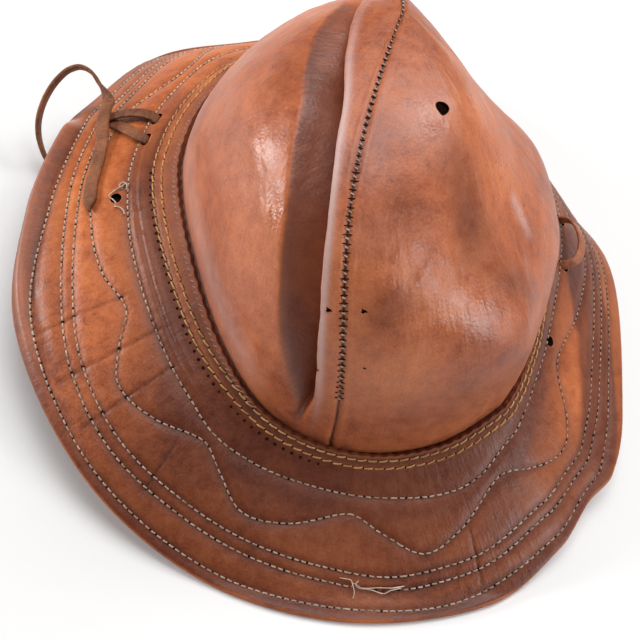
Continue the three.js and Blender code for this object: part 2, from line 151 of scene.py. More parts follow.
# Lines of stitching on the brim: angle, place across it.
EDGE_ROW = np.array((
    (-180, 0.90), (-120, 0.86), (-95, 0.81), (-80, 0.86), (-65, 0.91), (-50, 0.94), (-30, 0.94), (0, 0.93),
    (15, 0.95), (27, 0.90), (40, 0.92), (50, 0.94), (60, 0.87), (75, 0.85), (120, 0.90),
))
PAIR_ROW = np.array((
    (-180, 0.66), (-110, 0.60), (-83, 0.58), (-70, 0.61), (-58, 0.69), (-46, 0.71), (-30, 0.67), (-5, 0.66),
    (8, 0.70), (18, 0.68), (40, 0.65), (50, 0.69), (61, 0.65), (90, 0.64), (130, 0.66),
))
PAIR_GAP = 4.4
INNER_ROW = np.array((
    (-180, 0.20), (-85, 0.19), (-43, 0.19), (-33, 0.22), (-22, 0.19), (-8, 0.16), (8, 0.17), (20, 0.20),
    (31, 0.19), (40, 0.11), (51, 0.06), (61, 0.06), (75, 0.10), (100, 0.16), (140, 0.19),
))
WAVE_ROW = np.array((
    (-180, 0.50), (-163, 0.30), (-146, 0.52), (-129, 0.30), (-112, 0.46), (-97, 0.50), (-79, 0.45),
    (-70, 0.40), (-62, 0.32), (-57, 0.44), (-52, 0.54), (-44, 0.46), (-34, 0.30), (-28, 0.38),
    (-21, 0.51), (-12, 0.45), (0, 0.29), (7, 0.42), (14, 0.57), (22, 0.47), (30, 0.33), (36, 0.275),
    (43, 0.38), (51, 0.55), (58, 0.45), (66, 0.23), (78, 0.42), (90, 0.52), (105, 0.30), (120, 0.52),
    (135, 0.30), (150, 0.52), (165, 0.30),
))
GOLD_OUTER_ROW = np.array((
    (-180, -0.12), (-90, -0.06), (-60, -0.08), (-30, -0.30), (0, -0.26), (45, -0.30), (90, -0.30),
))
GOLD_INNER_ROW = np.array((
    (-180, -0.46), (-90, -0.40), (-60, -0.42), (-30, -0.76), (0, -0.72), (45, -0.72), (90, -0.70),
))


def row_place(row, angle):
    return around(row, angle)[..., 0]


def pale_rows(angle):
    """Places across the brim of the five pale rows, from the edge inwards."""
    pair = row_place(PAIR_ROW, angle)
    return (row_place(EDGE_ROW, angle), pair + PAIR_GAP / brim_reach(angle), pair,
            row_place(WAVE_ROW, angle), row_place(INNER_ROW, angle))


CREASES = (
    # angle at the inner end, at the outer end, from, to across the brim
    (-64.5, -65.0, 0.30, 0.88),
    (-56.0, -57.2, 0.18, 0.86),
    (-48.8, -50.2, 0.18, 0.84),
    (-38.0, -37.0, 0.45, 0.80),
    (24.0, 23.0, 0.50, 0.84),
)
CREASE_DEPTH, CREASE_WIDTH, CREASE_FADE = 0.5, 0.55, 0.04
BAND_RADIUS, MEAN_REACH = 95.0, 48.0
QUILTING = ((0.50, 2.4), (0.30, 0.9))     # depth, width of the valley and of the thread's groove
GOLD_GROOVE = (0.25, 0.9)
BAND_RIDGES = ((4.6, 0.55, 0.9), (6.0, -0.35, 0.7), (7.4, 0.5, 0.9))   # from the band, height, width
EDGE_ROLL = ((0.945, 3.0, 2.3), (0.85, -0.8, 1.8))                     # across, height, width


def roll_share(angle):
    """How far the edge is rolled up, on the left only."""
    return between(-110, -105, -80, -48, angle)


def crease_marks(angle, q, width):
    """Where each crease runs across the brim, 1 along its middle."""
    for start, end, low, high in CREASES:
        line = start + (end - start) * (q - low) / (high - low)
        aside = (angle - line) * np.radians(1.0) * (BAND_RADIUS + MEAN_REACH * q)
        yield bell(aside, width) * between(low - CREASE_FADE, low, high, high + CREASE_FADE, q)


def brim_relief(angle, q):
    """Height that stitching, ridges and creases give the upper face, mm."""
    reach = brim_reach(angle)
    height = np.zeros(np.broadcast(angle, q).shape)
    out = smooth(0.0, 0.05, q)
    for place in pale_rows(angle):
        d = (q - place) * reach
        height -= out * sum(deep * bell(d, wide) for deep, wide in QUILTING)
    for row in (GOLD_OUTER_ROW, GOLD_INNER_ROW):
        d = (q - row_place(row, angle)) * around(BRIM_SECTIONS, angle)[..., 7]
        height -= GOLD_GROOVE[0] * bell(d, GOLD_GROOVE[1]) * (q < 0.1)
    left = between(-112, -92, -52, -36, angle)
    height += left * sum(high * bell(q * reach - at, wide) for at, high, wide in BAND_RIDGES)
    height += roll_share(angle) * sum(high * bell((q - at) * reach, wide) for at, high, wide in EDGE_ROLL)
    for mark in crease_marks(angle, q, CREASE_WIDTH):
        height -= CREASE_DEPTH * mark
    return height


def half_thickness(q):
    """Half of the leather's thickness, which grows less towards the lip's top."""
    return np.where(q < 0, BRIM_THICKNESS + q * (BRIM_THICKNESS - LIP_THICKNESS), BRIM_THICKNESS) / 2


def brim_top(angle, q, height=0.0):
    angle, q = np.broadcast_arrays(np.asarray(angle, float), np.asarray(q, float))
    lift = half_thickness(q) + brim_relief(angle, q) + height
    return brim_middle(angle, q) + brim_normal(angle, q) * lift[..., None]


def grid_quads(columns, rows, close_columns=False, close_rows=False):
    """Faces between the points of a grid, which may close on itself either way."""
    i, j = np.meshgrid(np.arange(columns - (not close_columns)), np.arange(rows - (not close_rows)),
                       indexing="ij")
    k, n = (i + 1) % columns, (j + 1) % rows
    return np.stack((i * rows + j, k * rows + j, k * rows + n, i * rows + n), -1).reshape(-1, 4)


def leather_object(name, points, quads, marks=None, flow=None):
    """A smooth mesh from points in mm; marks are values for its finish, flow its leather's run."""
    xyz = (points.reshape(-1, 3) + HAT_PLACE) * MM
    a, b, c, d = (xyz[quads[:, k]] for k in range(4))
    volume = (a * np.cross(b, c)).sum() + (a * np.cross(c, d)).sum()
    if volume < 0:
        quads = quads[:, ::-1]
    mesh = bpy.data.meshes.new(name)
    mesh.from_pydata(xyz.tolist(), [], quads.tolist())
    for mark, values in (marks or {}).items():
        mesh.attributes.new(mark, "FLOAT", "POINT").data.foreach_set("value", np.ravel(values))
    if flow is not None:
        corners = np.empty(len(mesh.loops), dtype=np.int32)
        mesh.loops.foreach_get("vertex_index", corners)
        uv = flow.reshape(-1, 2)[corners].reshape(-1, 4, 2)
        length = flow[..., 0].max()
        split = np.ptp(uv[..., 0], axis=1) > length / 2
        uv[split, :, 0] += np.where(uv[split, :, 0] < length / 2, length, 0)
        mesh.uv_layers.new(name="flow").data.foreach_set("uv", uv.ravel())
    mesh.validate()
    mesh.shade_smooth()
    piece = bpy.data.objects.new(name, mesh)
    bpy.context.scene.collection.objects.link(piece)
    return piece


def connect(tree, made, inputs):
    """Sets each of a node's sockets: to another node's output, or to a plain value."""
    for socket, value in inputs.items():
        if isinstance(value, bpy.types.NodeSocket):
            tree.links.new(value, made.inputs[socket])
        else:
            made.inputs[socket].default_value = value
    return made.outputs


def add(tree, kind, inputs, **settings):
    """A new node with its sockets connected; gives its outputs."""
    made = tree.nodes.new(kind)
    for key, value in settings.items():
        setattr(made, key, value)
    return connect(tree, made, inputs)


def tones(tree, factor, stops):
    """A blend of colours through stops of (place, colour)."""
    made = tree.nodes.new("ShaderNodeValToRGB")
    elements = made.color_ramp.elements
    for element, (place, colour) in zip(elements, (stops[0], stops[-1])):
        element.position = place
        element.color = (*colour, 1)
    for place, colour in stops[1:-1]:
        elements.new(place).color = (*colour, 1)
    return connect(tree, made, {"Fac": factor})["Color"]


def finish(name):
    """A new material with its node tree and its shader."""
    material = bpy.data.materials.new(name)
    material.use_nodes = True
    return material, material.node_tree, material.node_tree.nodes["Principled BSDF"]


def pit_shade(name, shade, colour):
    """Dark inside of a hole: painted shade."""
    material, tree, shader = finish(name)
    place = add(tree, "ShaderNodeTexCoord", {})["Object"]
    mottle = add(tree, "ShaderNodeTexNoise", {"Vector": place, "Scale": 700.0})["Fac"]
    connect(tree, shader, {"Base Color": tones(tree, mottle, ((0.0, shade), (1.0, colour))),
                           "Roughness": 0.9, "Specular IOR Level": 0.05})
    return material


needle_pit = pit_shade("needle_pit", (0.006, 0.004, 0.004), (0.030, 0.014, 0.010))


def punch(piece, cutters):
    """Cuts the cutters' meshes out of a piece, and leaves the cut edges crisp."""
    points, faces = [], []
    for xyz, polygons in cutters:
        faces += [[i + len(points) for i in polygon] for polygon in polygons]
        points += [list((p + HAT_PLACE) * MM) for p in xyz]
    mesh = bpy.data.meshes.new("punch")
    mesh.from_pydata(points, [], faces)
    # the cut faces take the dark pit material, painted shade inside the holes
    mesh.materials.append(needle_pit)
    tool = bpy.data.objects.new("punch", mesh)
    bpy.context.scene.collection.objects.link(tool)
    cut = piece.modifiers.new("cut", "BOOLEAN")
    cut.operation = "DIFFERENCE"
    cut.solver = "EXACT"
    cut.material_mode = "TRANSFER"
    cut.object = tool
    result = bpy.data.meshes.new_from_object(piece.evaluated_get(bpy.context.evaluated_depsgraph_get()))
    piece.modifiers.remove(cut)
    piece.data = result
    bpy.data.objects.remove(tool)
    result.validate()
    result.shade_smooth()
    result.set_sharp_from_angle(angle=math.radians(50))


def cutter(centre, normal, along, outline, depth, height):
    """A prism with that outline, standing across a surface."""
    x = unit(along - normal * (along @ normal))
    y = np.cross(normal, x)
    rim = [centre + x * u + y * v for u, v in outline]
    count = len(rim)
    points = [p - normal * depth for p in rim] + [p + normal * height for p in rim]
    faces = [list(range(count))[::-1], list(range(count, 2 * count))]
    faces += [[i, (i + 1) % count, count + (i + 1) % count, count + i] for i in range(count)]
    return points, faces


# Soil and painted shade multiply the leather towards this mauve.
SOIL_AND_SHADE_TINT = (0.25, 0.212, 0.275, 1)
SPECK_SHARE, GRAIN_SHARE = 0.35, 0.22
POLISH_GAIN = -0.16


def hide(name, dark, middle, light, pale, gloss, patch, pore, wrinkle, crease=0.3):
    """Worn, oiled leather: mottled colour, pores and creases, dark with soil and painted shade, pale with
    rubbing and painted highlights.
    """
    material, tree, shader = finish(name)

    def cloud(vector, scale, detail, **more):
        return add(tree, "ShaderNodeTexNoise",
                   {"Vector": vector, "Scale": scale, "Detail": detail, **more})["Fac"]

    def sums(operation, *values):
        return add(tree, "ShaderNodeMath", dict(enumerate(values)), operation=operation)[0]

    def mark(attribute):
        return add(tree, "ShaderNodeAttribute", {}, attribute_name=attribute)["Fac"]

    place = add(tree, "ShaderNodeTexCoord", {})
    patches = cloud(place["Object"], patch, 5.0, Roughness=0.62)
    specks = cloud(place["Object"], patch * 9, 6.0, Roughness=0.7)
    grain = cloud(place["Object"], 1300.0, 2.0)
    mottled = sums("MULTIPLY_ADD", specks, SPECK_SHARE, sums("MULTIPLY", patches, 1 - SPECK_SHARE))
    mottled = sums("MULTIPLY_ADD", grain, GRAIN_SHARE, sums("SUBTRACT", mottled, GRAIN_SHARE / 2))
    leather = tones(tree, mottled, ((0.36, dark), (0.50, middle), (0.66, light)))
    soiled_and_shaded = add(tree, "ShaderNodeMix", {"Factor": mark("soil_and_shade"), 6: leather, 7: SOIL_AND_SHADE_TINT},
                 data_type="RGBA", blend_type="MULTIPLY")[2]
    rubbed_and_highlighted = add(tree, "ShaderNodeMix", {"Factor": mark("wear_and_highlight"), 6: soiled_and_shaded, 7: (*pale, 1)},
                 data_type="RGBA")[2]
    sheen = add(tree, "ShaderNodeMapRange", {"Value": specks, "From Min": 0.3, "From Max": 0.7,
                                             "To Min": gloss - 0.09, "To Max": gloss + 0.12})["Result"]
    pores = add(tree, "ShaderNodeTexVoronoi", {"Vector": place["Object"], "Scale": pore},
                feature="SMOOTH_F1")["Distance"]
    stretch = add(tree, "ShaderNodeMapping", {"Vector": place["UV"], "Scale": (*wrinkle, 1.0)})["Vector"]
    folds = cloud(stretch, 1.0, 4.0, Distortion=0.6)
    fine = add(tree, "ShaderNodeBump", {"Height": pores, "Strength": 0.22, "Distance": 0.0004})["Normal"]
    creased = add(tree, "ShaderNodeBump", {"Height": folds, "Normal": fine, "Strength": crease,
                                           "Distance": 0.0008})["Normal"]
    connect(tree, shader, {"Base Color": rubbed_and_highlighted, "Normal": creased, "Specular IOR Level": 0.42,
                           "Roughness": sums("MULTIPLY_ADD", mark("polish"), POLISH_GAIN, sheen)})
    return material


BRIM_COLUMNS = 960
LIP_STATIONS = np.linspace(-1, 0, 15)[:-1]
TOP_STATIONS = np.linspace(0, 1, 58)
UNDER_STATIONS = np.linspace(1, -1, 24)
PINKING = 0.28 * np.cos(np.radians(np.arange(0, 360, 45)))
PINKING_FADE = (1.0, 0.6, 0.25)
ROUNDING = np.radians((60, 25, -25, -60))
RIPPLE_SCALE, RIPPLE_HEIGHT = 0.35, 0.12

angles = -180 + 360 * np.arange(BRIM_COLUMNS) / BRIM_COLUMNS
stations = np.concatenate((LIP_STATIONS, TOP_STATIONS))
A, Q = np.meshgrid(angles, stations, indexing="ij")
upper = brim_top(A, Q)
ripple = np.array([noise.noise((x * RIPPLE_SCALE, y * RIPPLE_SCALE, z * RIPPLE_SCALE))
                   for x, y, z in upper.reshape(-1, 3)])
upper += brim_normal(A, Q) * (RIPPLE_HEIGHT * ripple.reshape(A.shape))[..., None]
A2, Q2 = np.meshgrid(angles, UNDER_STATIONS, indexing="ij")
under = brim_middle(A2, Q2) - brim_normal(A2, Q2) * half_thickness(Q2)[..., None]
edge = brim_middle(angles, 1.0)
edge_out = unit(edge - brim_middle(angles, 0.98))
edge_up = brim_normal(angles, np.ones(BRIM_COLUMNS))
rim = (edge[:, None] + edge_out[:, None] * (np.cos(ROUNDING) * BRIM_THICKNESS / 2)[None, :, None]
       + edge_up[:, None] * (np.sin(ROUNDING) * BRIM_THICKNESS / 2)[None, :, None])
lip_up = unit(brim_middle(angles, -1.0) - brim_middle(angles, -0.95))
pinked = np.tile(PINKING, BRIM_COLUMNS // len(PINKING))[:, None] * lip_up
for k, share in enumerate(PINKING_FADE):
    upper[:, k] += share * pinked
    under[:, -1 - k] += share * pinked
brim_points = np.concatenate((upper, rim, under), 1)
brim_points[..., 2] = np.maximum(brim_points[..., 2], 0.0)

reach = brim_reach(A)
total = brim_points.shape[1]
rest = total - len(stations)


def spot(angle, q, stretch, size):
    """A round spot on the brim's upper face; stretch is the length of a degree there, mm."""
    return bell(np.hypot((A - angle) * stretch, (Q - q) * reach), size)


def with_rest(top, others):
    """Values for the upper face, then for the rim and the underside."""
    return np.concatenate((top, np.broadcast_to(others, (BRIM_COLUMNS, rest))), 1)


stitch_darkening = np.max([bell((Q - place) * reach, 1.5) for place in pale_rows(A)], axis=0) * (Q > 0.02)
right_side = between(36, 60, 100, 140, A)
droop_from = np.interp(A, (58, 66, 74, 81), (0.60, 0.51, 0.42, 0.23))
droop_to = np.interp(A, (58, 70.6, 78.6, 85), (0.95, 0.87, 0.805, 0.70))
droop_shade = (between(50, 66, 95, 130, A)
         * between(droop_from - 0.05, droop_from + 0.05, droop_to, droop_to + 0.08, Q))
BRIM_SOIL_AND_SHADE = (
    # how dark, where: dirt, and painted shade where so marked
    (0.25, stitch_darkening),
    # painted shade in the brim's creases
    (0.35, np.max(list(crease_marks(A, Q, 0.5)), axis=0)),
    (0.75, spot(-44.5, 0.29, 1.9, 4.5)),                                # a stain at the front left
    # painted shadow of the right keeper's loop, on the brim under and inside it
    (0.60, spot(87, 0.22, 1.8, 7.0)),                                   # round the right keeper
    (0.35, bell(Q, 0.03)),                                              # the bend at the band
    (0.40, smooth(0.93, 1.0, Q) * (1 - right_side)),                    # the outer edge
    (0.50, smooth(-0.93, -1.0, Q)),                                     # the lip, darkest at its top
    (0.45, smooth(-0.35, -0.55, Q)),
    (0.30, bell(Q + 0.8, 0.25)),
    (0.45, between(-70, -45, 60, 90, A) * bell(Q + 0.5, 0.35)),
    (0.70, between(-130, -100, 110, 150, A) * bell(Q + 0.1, 0.35)),     # both sides of the band
    (0.30, between(-112, -95, -60, -40, A) * bell(Q - 0.1, 0.15)),
    # the dark front is dirt, and also the crown's shadow painted on the brim
    (0.80, between(-66, -38, 36, 66, A) * smooth(-0.2, 0.1, Q)),        # the dark front
    (0.24, right_side),
    (0.36, right_side * smooth(0.5, 0.7, Q)),
    # painted shade in the hollow at the right, which droops away from the light
    (0.60, droop_shade),                                                      # the hollow at the right
    # painted shade where the left edge turns down away from the light
    (0.48, between(-165, -125, -75, -55, A) * smooth(0.55, 0.85, Q)),   # the back left edge
    # painted shade in the groove inside the rolled edge
    (0.35, roll_share(A) * bell((Q - 0.86) * reach, 1.8)),              # inside the rolled edge
)
BRIM_HIGHLIGHTS = (
    # how pale, where: painted highlights on the rounded edge
    (0.80, spot(-107.5, 0.95, 2.2, 3.2)),                               # the tip beside the bow
    (0.25, roll_share(A) * bell((Q - 0.95) * reach, 1.3)),              # the rolled edge
)
# The rim and the underside are darker; the inner face of the lip gets painted shade, for the narrow gap
# against the crown.
EDGE_DARK, INNER_LIP_SHADE = 0.45, 0.85
soil_and_shade_top = np.clip(sum(share * mask for share, mask in BRIM_SOIL_AND_SHADE), 0, 1)
highlight_top = sum(share * mask for share, mask in BRIM_HIGHLIGHTS)
dull_lip = -1.5 * smooth(-0.15, -0.45, Q)
dark_rest = np.concatenate((np.full(len(ROUNDING), EDGE_DARK),
                            np.where(UNDER_STATIONS < -0.2, INNER_LIP_SHADE, EDGE_DARK)))
brim_marks = {"soil_and_shade": with_rest(soil_and_shade_top, dark_rest), "wear_and_highlight": with_rest(highlight_top, 0.0),
              "polish": with_rest(dull_lip, 0.0)}
FLOW_RADIUS = 0.1
around_flow = np.repeat(np.radians(A[:, :1]) * FLOW_RADIUS, total, 1) + math.pi * FLOW_RADIUS
across_flow = with_rest(np.where(Q < 0, Q * 0.01, Q * MEAN_REACH * MM), np.linspace(0.05, 0.1, rest))
brim = leather_object("brim_leather", brim_points, grid_quads(BRIM_COLUMNS, total, True, True),
                      brim_marks, np.stack((around_flow, across_flow), -1))

brim_hide = hide("brim_hide", dark=(0.27, 0.060, 0.018), middle=(0.51, 0.130, 0.034),
                 light=(0.70, 0.21, 0.058), pale=(0.58, 0.36, 0.30), gloss=0.46, patch=26.0,
                 pore=1100.0, wrinkle=(420.0, 60.0))
brim.data.materials.append(brim_hide)

EYELET = 2.3
EYELETS = ((-87.0, 0.28), (68.0, 0.1))
SLOT = (7.5, 3.4)
LEFT_SLOTS = ((-108.0, 0.14), (-101.5, 0.14))
RIGHT_SLOTS = ((93.0, 0.13), (83.0, 0.15))
EYELET_DEPTH, SLOT_DEPTH, PUNCH_HEIGHT = 0.8, 7.0, 7.0   # the lower layer closes the eyelets


def across(angle, q):
    return unit(brim_middle(angle, q + 0.02) - brim_middle(angle, q - 0.02))


def along(angle, q):
    return unit(brim_middle(angle + 1, q) - brim_middle(angle - 1, q))


def slot_outline(length, width):
    turns = np.radians(np.linspace(-90, 90, 7))
    shift = (length - width) / 2
    right_end = [(shift + width / 2 * math.cos(t), width / 2 * math.sin(t)) for t in turns]
    return right_end + [(-u, -v) for u, v in right_end]


ring = [(EYELET * math.cos(t), EYELET * math.sin(t)) for t in np.linspace(0, 2 * math.pi, 25)[:-1]]
holes = [(place, ring, along, EYELET_DEPTH) for place in EYELETS]
holes += [(place, slot_outline(*SLOT), along, SLOT_DEPTH) for place in LEFT_SLOTS]
holes += [(place, slot_outline(*SLOT), across, SLOT_DEPTH) for place in RIGHT_SLOTS]
punch(brim, [cutter(brim_middle(*place), brim_normal(*place), run(*place), outline, depth, PUNCH_HEIGHT)
             for place, outline, run, depth in holes])

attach(brim, "root")
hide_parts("brim")

# Stitching on the brim
# Two-ply thread sewn through both layers by machine: gold rows hold the band, pale rows quilt
# the brim in parallel lines and one serpentine. Each needle leaves a pit, drawn as a dark disc of painted
# shade.


def row_tree(name, material, labels, bite):
    """Geometry Nodes: one bite of sewing for each pitch of a line, stood upright on the leather."""
    tree = bpy.data.node_groups.new(name, "GeometryNodeTree")
    sockets = {}
    tree.interface.new_socket("Line", in_out="INPUT", socket_type="NodeSocketGeometry")
    for label in labels:
        made = tree.interface.new_socket(label, in_out="INPUT", socket_type="NodeSocketFloat")
        sockets[label] = made.identifier
    tree.interface.new_socket("Sewing", in_out="OUTPUT", socket_type="NodeSocketGeometry")
    given = add(tree, "NodeGroupInput", {})
    curve = add(tree, "GeometryNodeMeshToCurve", {"Mesh": given["Line"]})["Curve"]
    evenly = add(tree, "GeometryNodeResampleCurve", {"Curve": curve, "Length": given["Pitch"]},
                 mode="LENGTH")["Curve"]
    upward = add(tree, "GeometryNodeInputNamedAttribute", {"Name": "upward"},
                 data_type="FLOAT_VECTOR")["Attribute"]
    forward = add(tree, "GeometryNodeInputTangent", {})["Tangent"]
    stand = add(tree, "FunctionNodeAxesToRotation", {"Primary Axis": upward, "Secondary Axis": forward},
                primary_axis="Z", secondary_axis="X")["Rotation"]
    shape, turned, size = bite(tree, given, stand)
    laid = add(tree, "GeometryNodeInstanceOnPoints", {"Points": evenly, "Instance": shape,
                                                      "Rotation": turned, "Scale": size})["Instances"]
    real = add(tree, "GeometryNodeRealizeInstances", {"Geometry": laid})["Geometry"]
    dressed = add(tree, "GeometryNodeSetMaterial", {"Geometry": real, "Material": material})["Geometry"]
    add(tree, "NodeGroupOutput", {"Sewing": dressed})
    return tree, sockets


def thread_bite(tree, given, stand):
    """An arched length of thread, turned a little from stitch to stitch."""

    def scaled(source, factor):
        return add(tree, "ShaderNodeMath", {0: source, 1: factor}, operation="MULTIPLY")["Value"]

    def point(**axes):
        return add(tree, "ShaderNodeCombineXYZ", axes)["Vector"]

    dip = scaled(given["Arch"], -0.6)
    arch = add(tree, "GeometryNodeCurveQuadraticBezier", {
        "Resolution": 6, "Start": point(X=scaled(given["Length"], -0.5), Z=dip),
        "Middle": point(Z=scaled(given["Arch"], 2.0)),
        "End": point(X=scaled(given["Length"], 0.5), Z=dip)})["Curve"]
    section = add(tree, "GeometryNodeCurvePrimitiveCircle",
                  {"Resolution": 7, "Radius": scaled(given["Thickness"], 0.5)})["Curve"]
    body = add(tree, "GeometryNodeCurveToMesh",
               {"Curve": arch, "Profile Curve": section, "Fill Caps": True})["Mesh"]
    sway = add(tree, "FunctionNodeRandomValue", {2: -0.10, 3: 0.10, "Seed": 7}, data_type="FLOAT")[1]
    turn = add(tree, "ShaderNodeMath", {0: given["Turn"], 1: sway}, operation="ADD")["Value"]
    spin = add(tree, "FunctionNodeAxisAngleToRotation", {"Axis": (0, 0, 1), "Angle": turn})["Rotation"]
    turned = add(tree, "FunctionNodeRotateRotation", {"Rotation": stand, "Rotate By": spin},
                 rotation_space="LOCAL")["Rotation"]
    return body, turned, (1, 1, 1)


def pit_bite(tree, given, stand):
    """A small needle pit, a disc of painted shade, a little wider or narrower from one to the next."""
    radius = add(tree, "ShaderNodeMath", {0: given["Width"], 1: 0.5}, operation="MULTIPLY")["Value"]
    disc = add(tree, "GeometryNodeMeshCircle", {"Vertices": 9, "Radius": radius},
               fill_type="TRIANGLE_FAN")["Mesh"]
    offset = add(tree, "ShaderNodeCombineXYZ", {"X": given["Shift"]})["Vector"]
    moved = add(tree, "GeometryNodeTransform", {"Geometry": disc, "Translation": offset})["Geometry"]
    size = add(tree, "FunctionNodeRandomValue", {2: 0.78, 3: 1.12, "Seed": 3}, data_type="FLOAT")[1]
    return moved, stand, size


def stitching(name, material):
    return row_tree(name, material, ("Pitch", "Length", "Thickness", "Arch", "Turn"), thread_bite)


def sewn(name, lines, sewing, sizes):
    """Lines of points (mm) with their upward directions, turned into one piece by a row's tree."""
    tree, sockets = sewing
    points, edges, ups = [], [], []
    for xyz, upward, closed in lines:
        first, count = len(points), len(xyz)
        points += ((xyz + HAT_PLACE) * MM).tolist()
        ups += upward.tolist()
        edges += [(first + i, first + i + 1) for i in range(count - 1)]
        if closed:
            edges.append((first + count - 1, first))
    mesh = bpy.data.meshes.new(name + "_line")
    mesh.from_pydata(points, edges, [])
    mesh.attributes.new("upward", "FLOAT_VECTOR", "POINT").data.foreach_set("vector", np.ravel(ups))
    line = bpy.data.objects.new(name, mesh)
    bpy.context.scene.collection.objects.link(line)
    sew = line.modifiers.new("sew", "NODES")
    sew.node_group = tree
    for label, value in sizes.items():
        sew[sockets[label]] = value * (1 if label == "Turn" else MM)
    result = bpy.data.meshes.new_from_object(line.evaluated_get(bpy.context.evaluated_depsgraph_get()))
    line.modifiers.remove(sew)
    line.data = result
    result.name = name
    result.shade_smooth()
    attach(line, "root")
    return line


def thread(name, colour, shade):
    """Spun thread: fine twisted ply, lightly soiled."""
    material, tree, shader = finish(name)
    place = add(tree, "ShaderNodeTexCoord", {})["Object"]
    mottle = add(tree, "ShaderNodeTexNoise", {"Vector": place, "Scale": 260.0, "Detail": 4.0})["Fac"]
    ply = add(tree, "ShaderNodeTexNoise", {"Vector": place, "Scale": 2600.0})["Fac"]
    twist = add(tree, "ShaderNodeBump", {"Height": ply, "Strength": 0.4, "Distance": 0.0002})["Normal"]
    connect(tree, shader, {"Base Color": tones(tree, mottle, ((0.35, shade), (0.62, colour))),
                           "Normal": twist, "Roughness": 0.75})
    return material


PALE_STITCH = {"Pitch": 2.75, "Length": 1.5, "Thickness": 0.68, "Arch": 0.3, "Turn": 0.0}
SUNK_STITCH = {"Pitch": 2.75, "Length": 1.05, "Thickness": 0.52, "Arch": 0.2, "Turn": 0.0}
GOLD_STITCH = {"Pitch": 4.0, "Length": 3.2, "Thickness": 0.7, "Arch": 0.3, "Turn": 0.14}
ZIGZAG_STITCH = {"Pitch": 2.4, "Length": 1.9, "Thickness": 0.35, "Arch": 0.1, "Turn": 0.75}
PALE_PIT = {"Pitch": 2.75, "Width": 1.45, "Shift": 2.75 / 2}
SUNK_PIT = {"Pitch": 2.75, "Width": 1.1, "Shift": 2.75 / 2}
GOLD_PIT = {"Pitch": 4.0, "Width": 0.9, "Shift": 2.0}
EMPTY_PIT = {"Pitch": 3.5, "Width": 1.25, "Shift": 0.0}
pale_thread = thread("pale_thread", (0.60, 0.47, 0.36), (0.36, 0.24, 0.17))
gold_thread = thread("gold_thread", (0.56, 0.32, 0.12), (0.36, 0.17, 0.06))
# a darker copy of the pale thread, painted shade for the stitches on the front; the sunk stretch uses it too
shaded_thread = thread("shaded_thread", (0.44, 0.34, 0.265), (0.25, 0.165, 0.115))
zigzag_thread = thread("zigzag_thread", (0.40, 0.27, 0.21), (0.24, 0.13, 0.09))
pale_sewing = stitching("pale_stitching", pale_thread)
shaded_sewing = stitching("shaded_stitching", shaded_thread)
gold_sewing = stitching("gold_stitching", gold_thread)
zigzag_sewing = stitching("zigzag_stitching", zigzag_thread)
pit_sewing = row_tree("needle_pits", needle_pit, ("Pitch", "Width", "Shift"), pit_bite)

ROW_ANGLES = np.arange(-180, 180, 0.4)
THREAD_LIFT, SUNK_LIFT, PIT_LIFT = 0.15, 0.10, 0.06
BROKEN_ROW, BROKEN = 1, (0.2, 9.7)        # the row that has come undone, and where
SUNK = (46.0, 140.0)                      # where the thread has sunk into the leather
# the front stretches are sewn with the darker thread as painted shade
UNSHADED = ((-180.0, -60.0), (SUNK[1], 180.0))
SHADED = ((-60.0, BROKEN[0]), BROKEN, (BROKEN[1], SUNK[0]))
ALL_ROUND = ((),)
EMPTY_ROW, EMPTY = 0.01, (-92, -8)        # needle holes that have lost their thread
ZIGZAG_ROW, ZIGZAG = -0.86, (-125, -28)


def brim_line(place, lift, start=None, end=None):
    """A line of sewing round the brim, or from one angle to another."""
    if start is None:
        keep = np.ones(len(ROW_ANGLES), bool)
    else:
        keep = (ROW_ANGLES >= start) & (ROW_ANGLES <= end)
    a, q = ROW_ANGLES[keep], np.broadcast_to(place, ROW_ANGLES.shape)[keep]
    return brim_top(a, q, lift), brim_normal(a, q), start is None


def brim_lines(places, lift, stretches):
    return [brim_line(place, lift, *ends) for place in places for ends in stretches]


pale_places = pale_rows(ROW_ANGLES)
gold_places = [row_place(row, ROW_ANGLES) for row in (GOLD_OUTER_ROW, GOLD_INNER_ROW)]
shaded_lines = [brim_line(place, THREAD_LIFT, *ends) for number, place in enumerate(pale_places)
                for ends in SHADED if (number, ends) != (BROKEN_ROW, BROKEN)]
for name, sewn_lines, sewing, sizes in (
        ("pale_stitches", brim_lines(pale_places, THREAD_LIFT, UNSHADED), pale_sewing, PALE_STITCH),
        ("shaded_stitches", shaded_lines, shaded_sewing, PALE_STITCH),
        ("pale_needle_pits", brim_lines(pale_places, PIT_LIFT, UNSHADED + SHADED), pit_sewing, PALE_PIT),
        ("sunk_stitches", brim_lines(pale_places, SUNK_LIFT, (SUNK,)), shaded_sewing, SUNK_STITCH),
        ("sunk_needle_pits", brim_lines(pale_places, PIT_LIFT, (SUNK,)), pit_sewing, SUNK_PIT),
        ("gold_stitches", brim_lines(gold_places, THREAD_LIFT, ALL_ROUND), gold_sewing, GOLD_STITCH),
        ("gold_needle_pits", brim_lines(gold_places, PIT_LIFT, ALL_ROUND), pit_sewing, GOLD_PIT),
        ("zigzag_stitches", [brim_line(ZIGZAG_ROW, 0.05, *ZIGZAG)], zigzag_sewing, ZIGZAG_STITCH),
        ("empty_needle_pits", [brim_line(EMPTY_ROW, 0.08, *EMPTY)], pit_sewing, EMPTY_PIT)):
    sewn(name, sewn_lines, sewing, sizes)

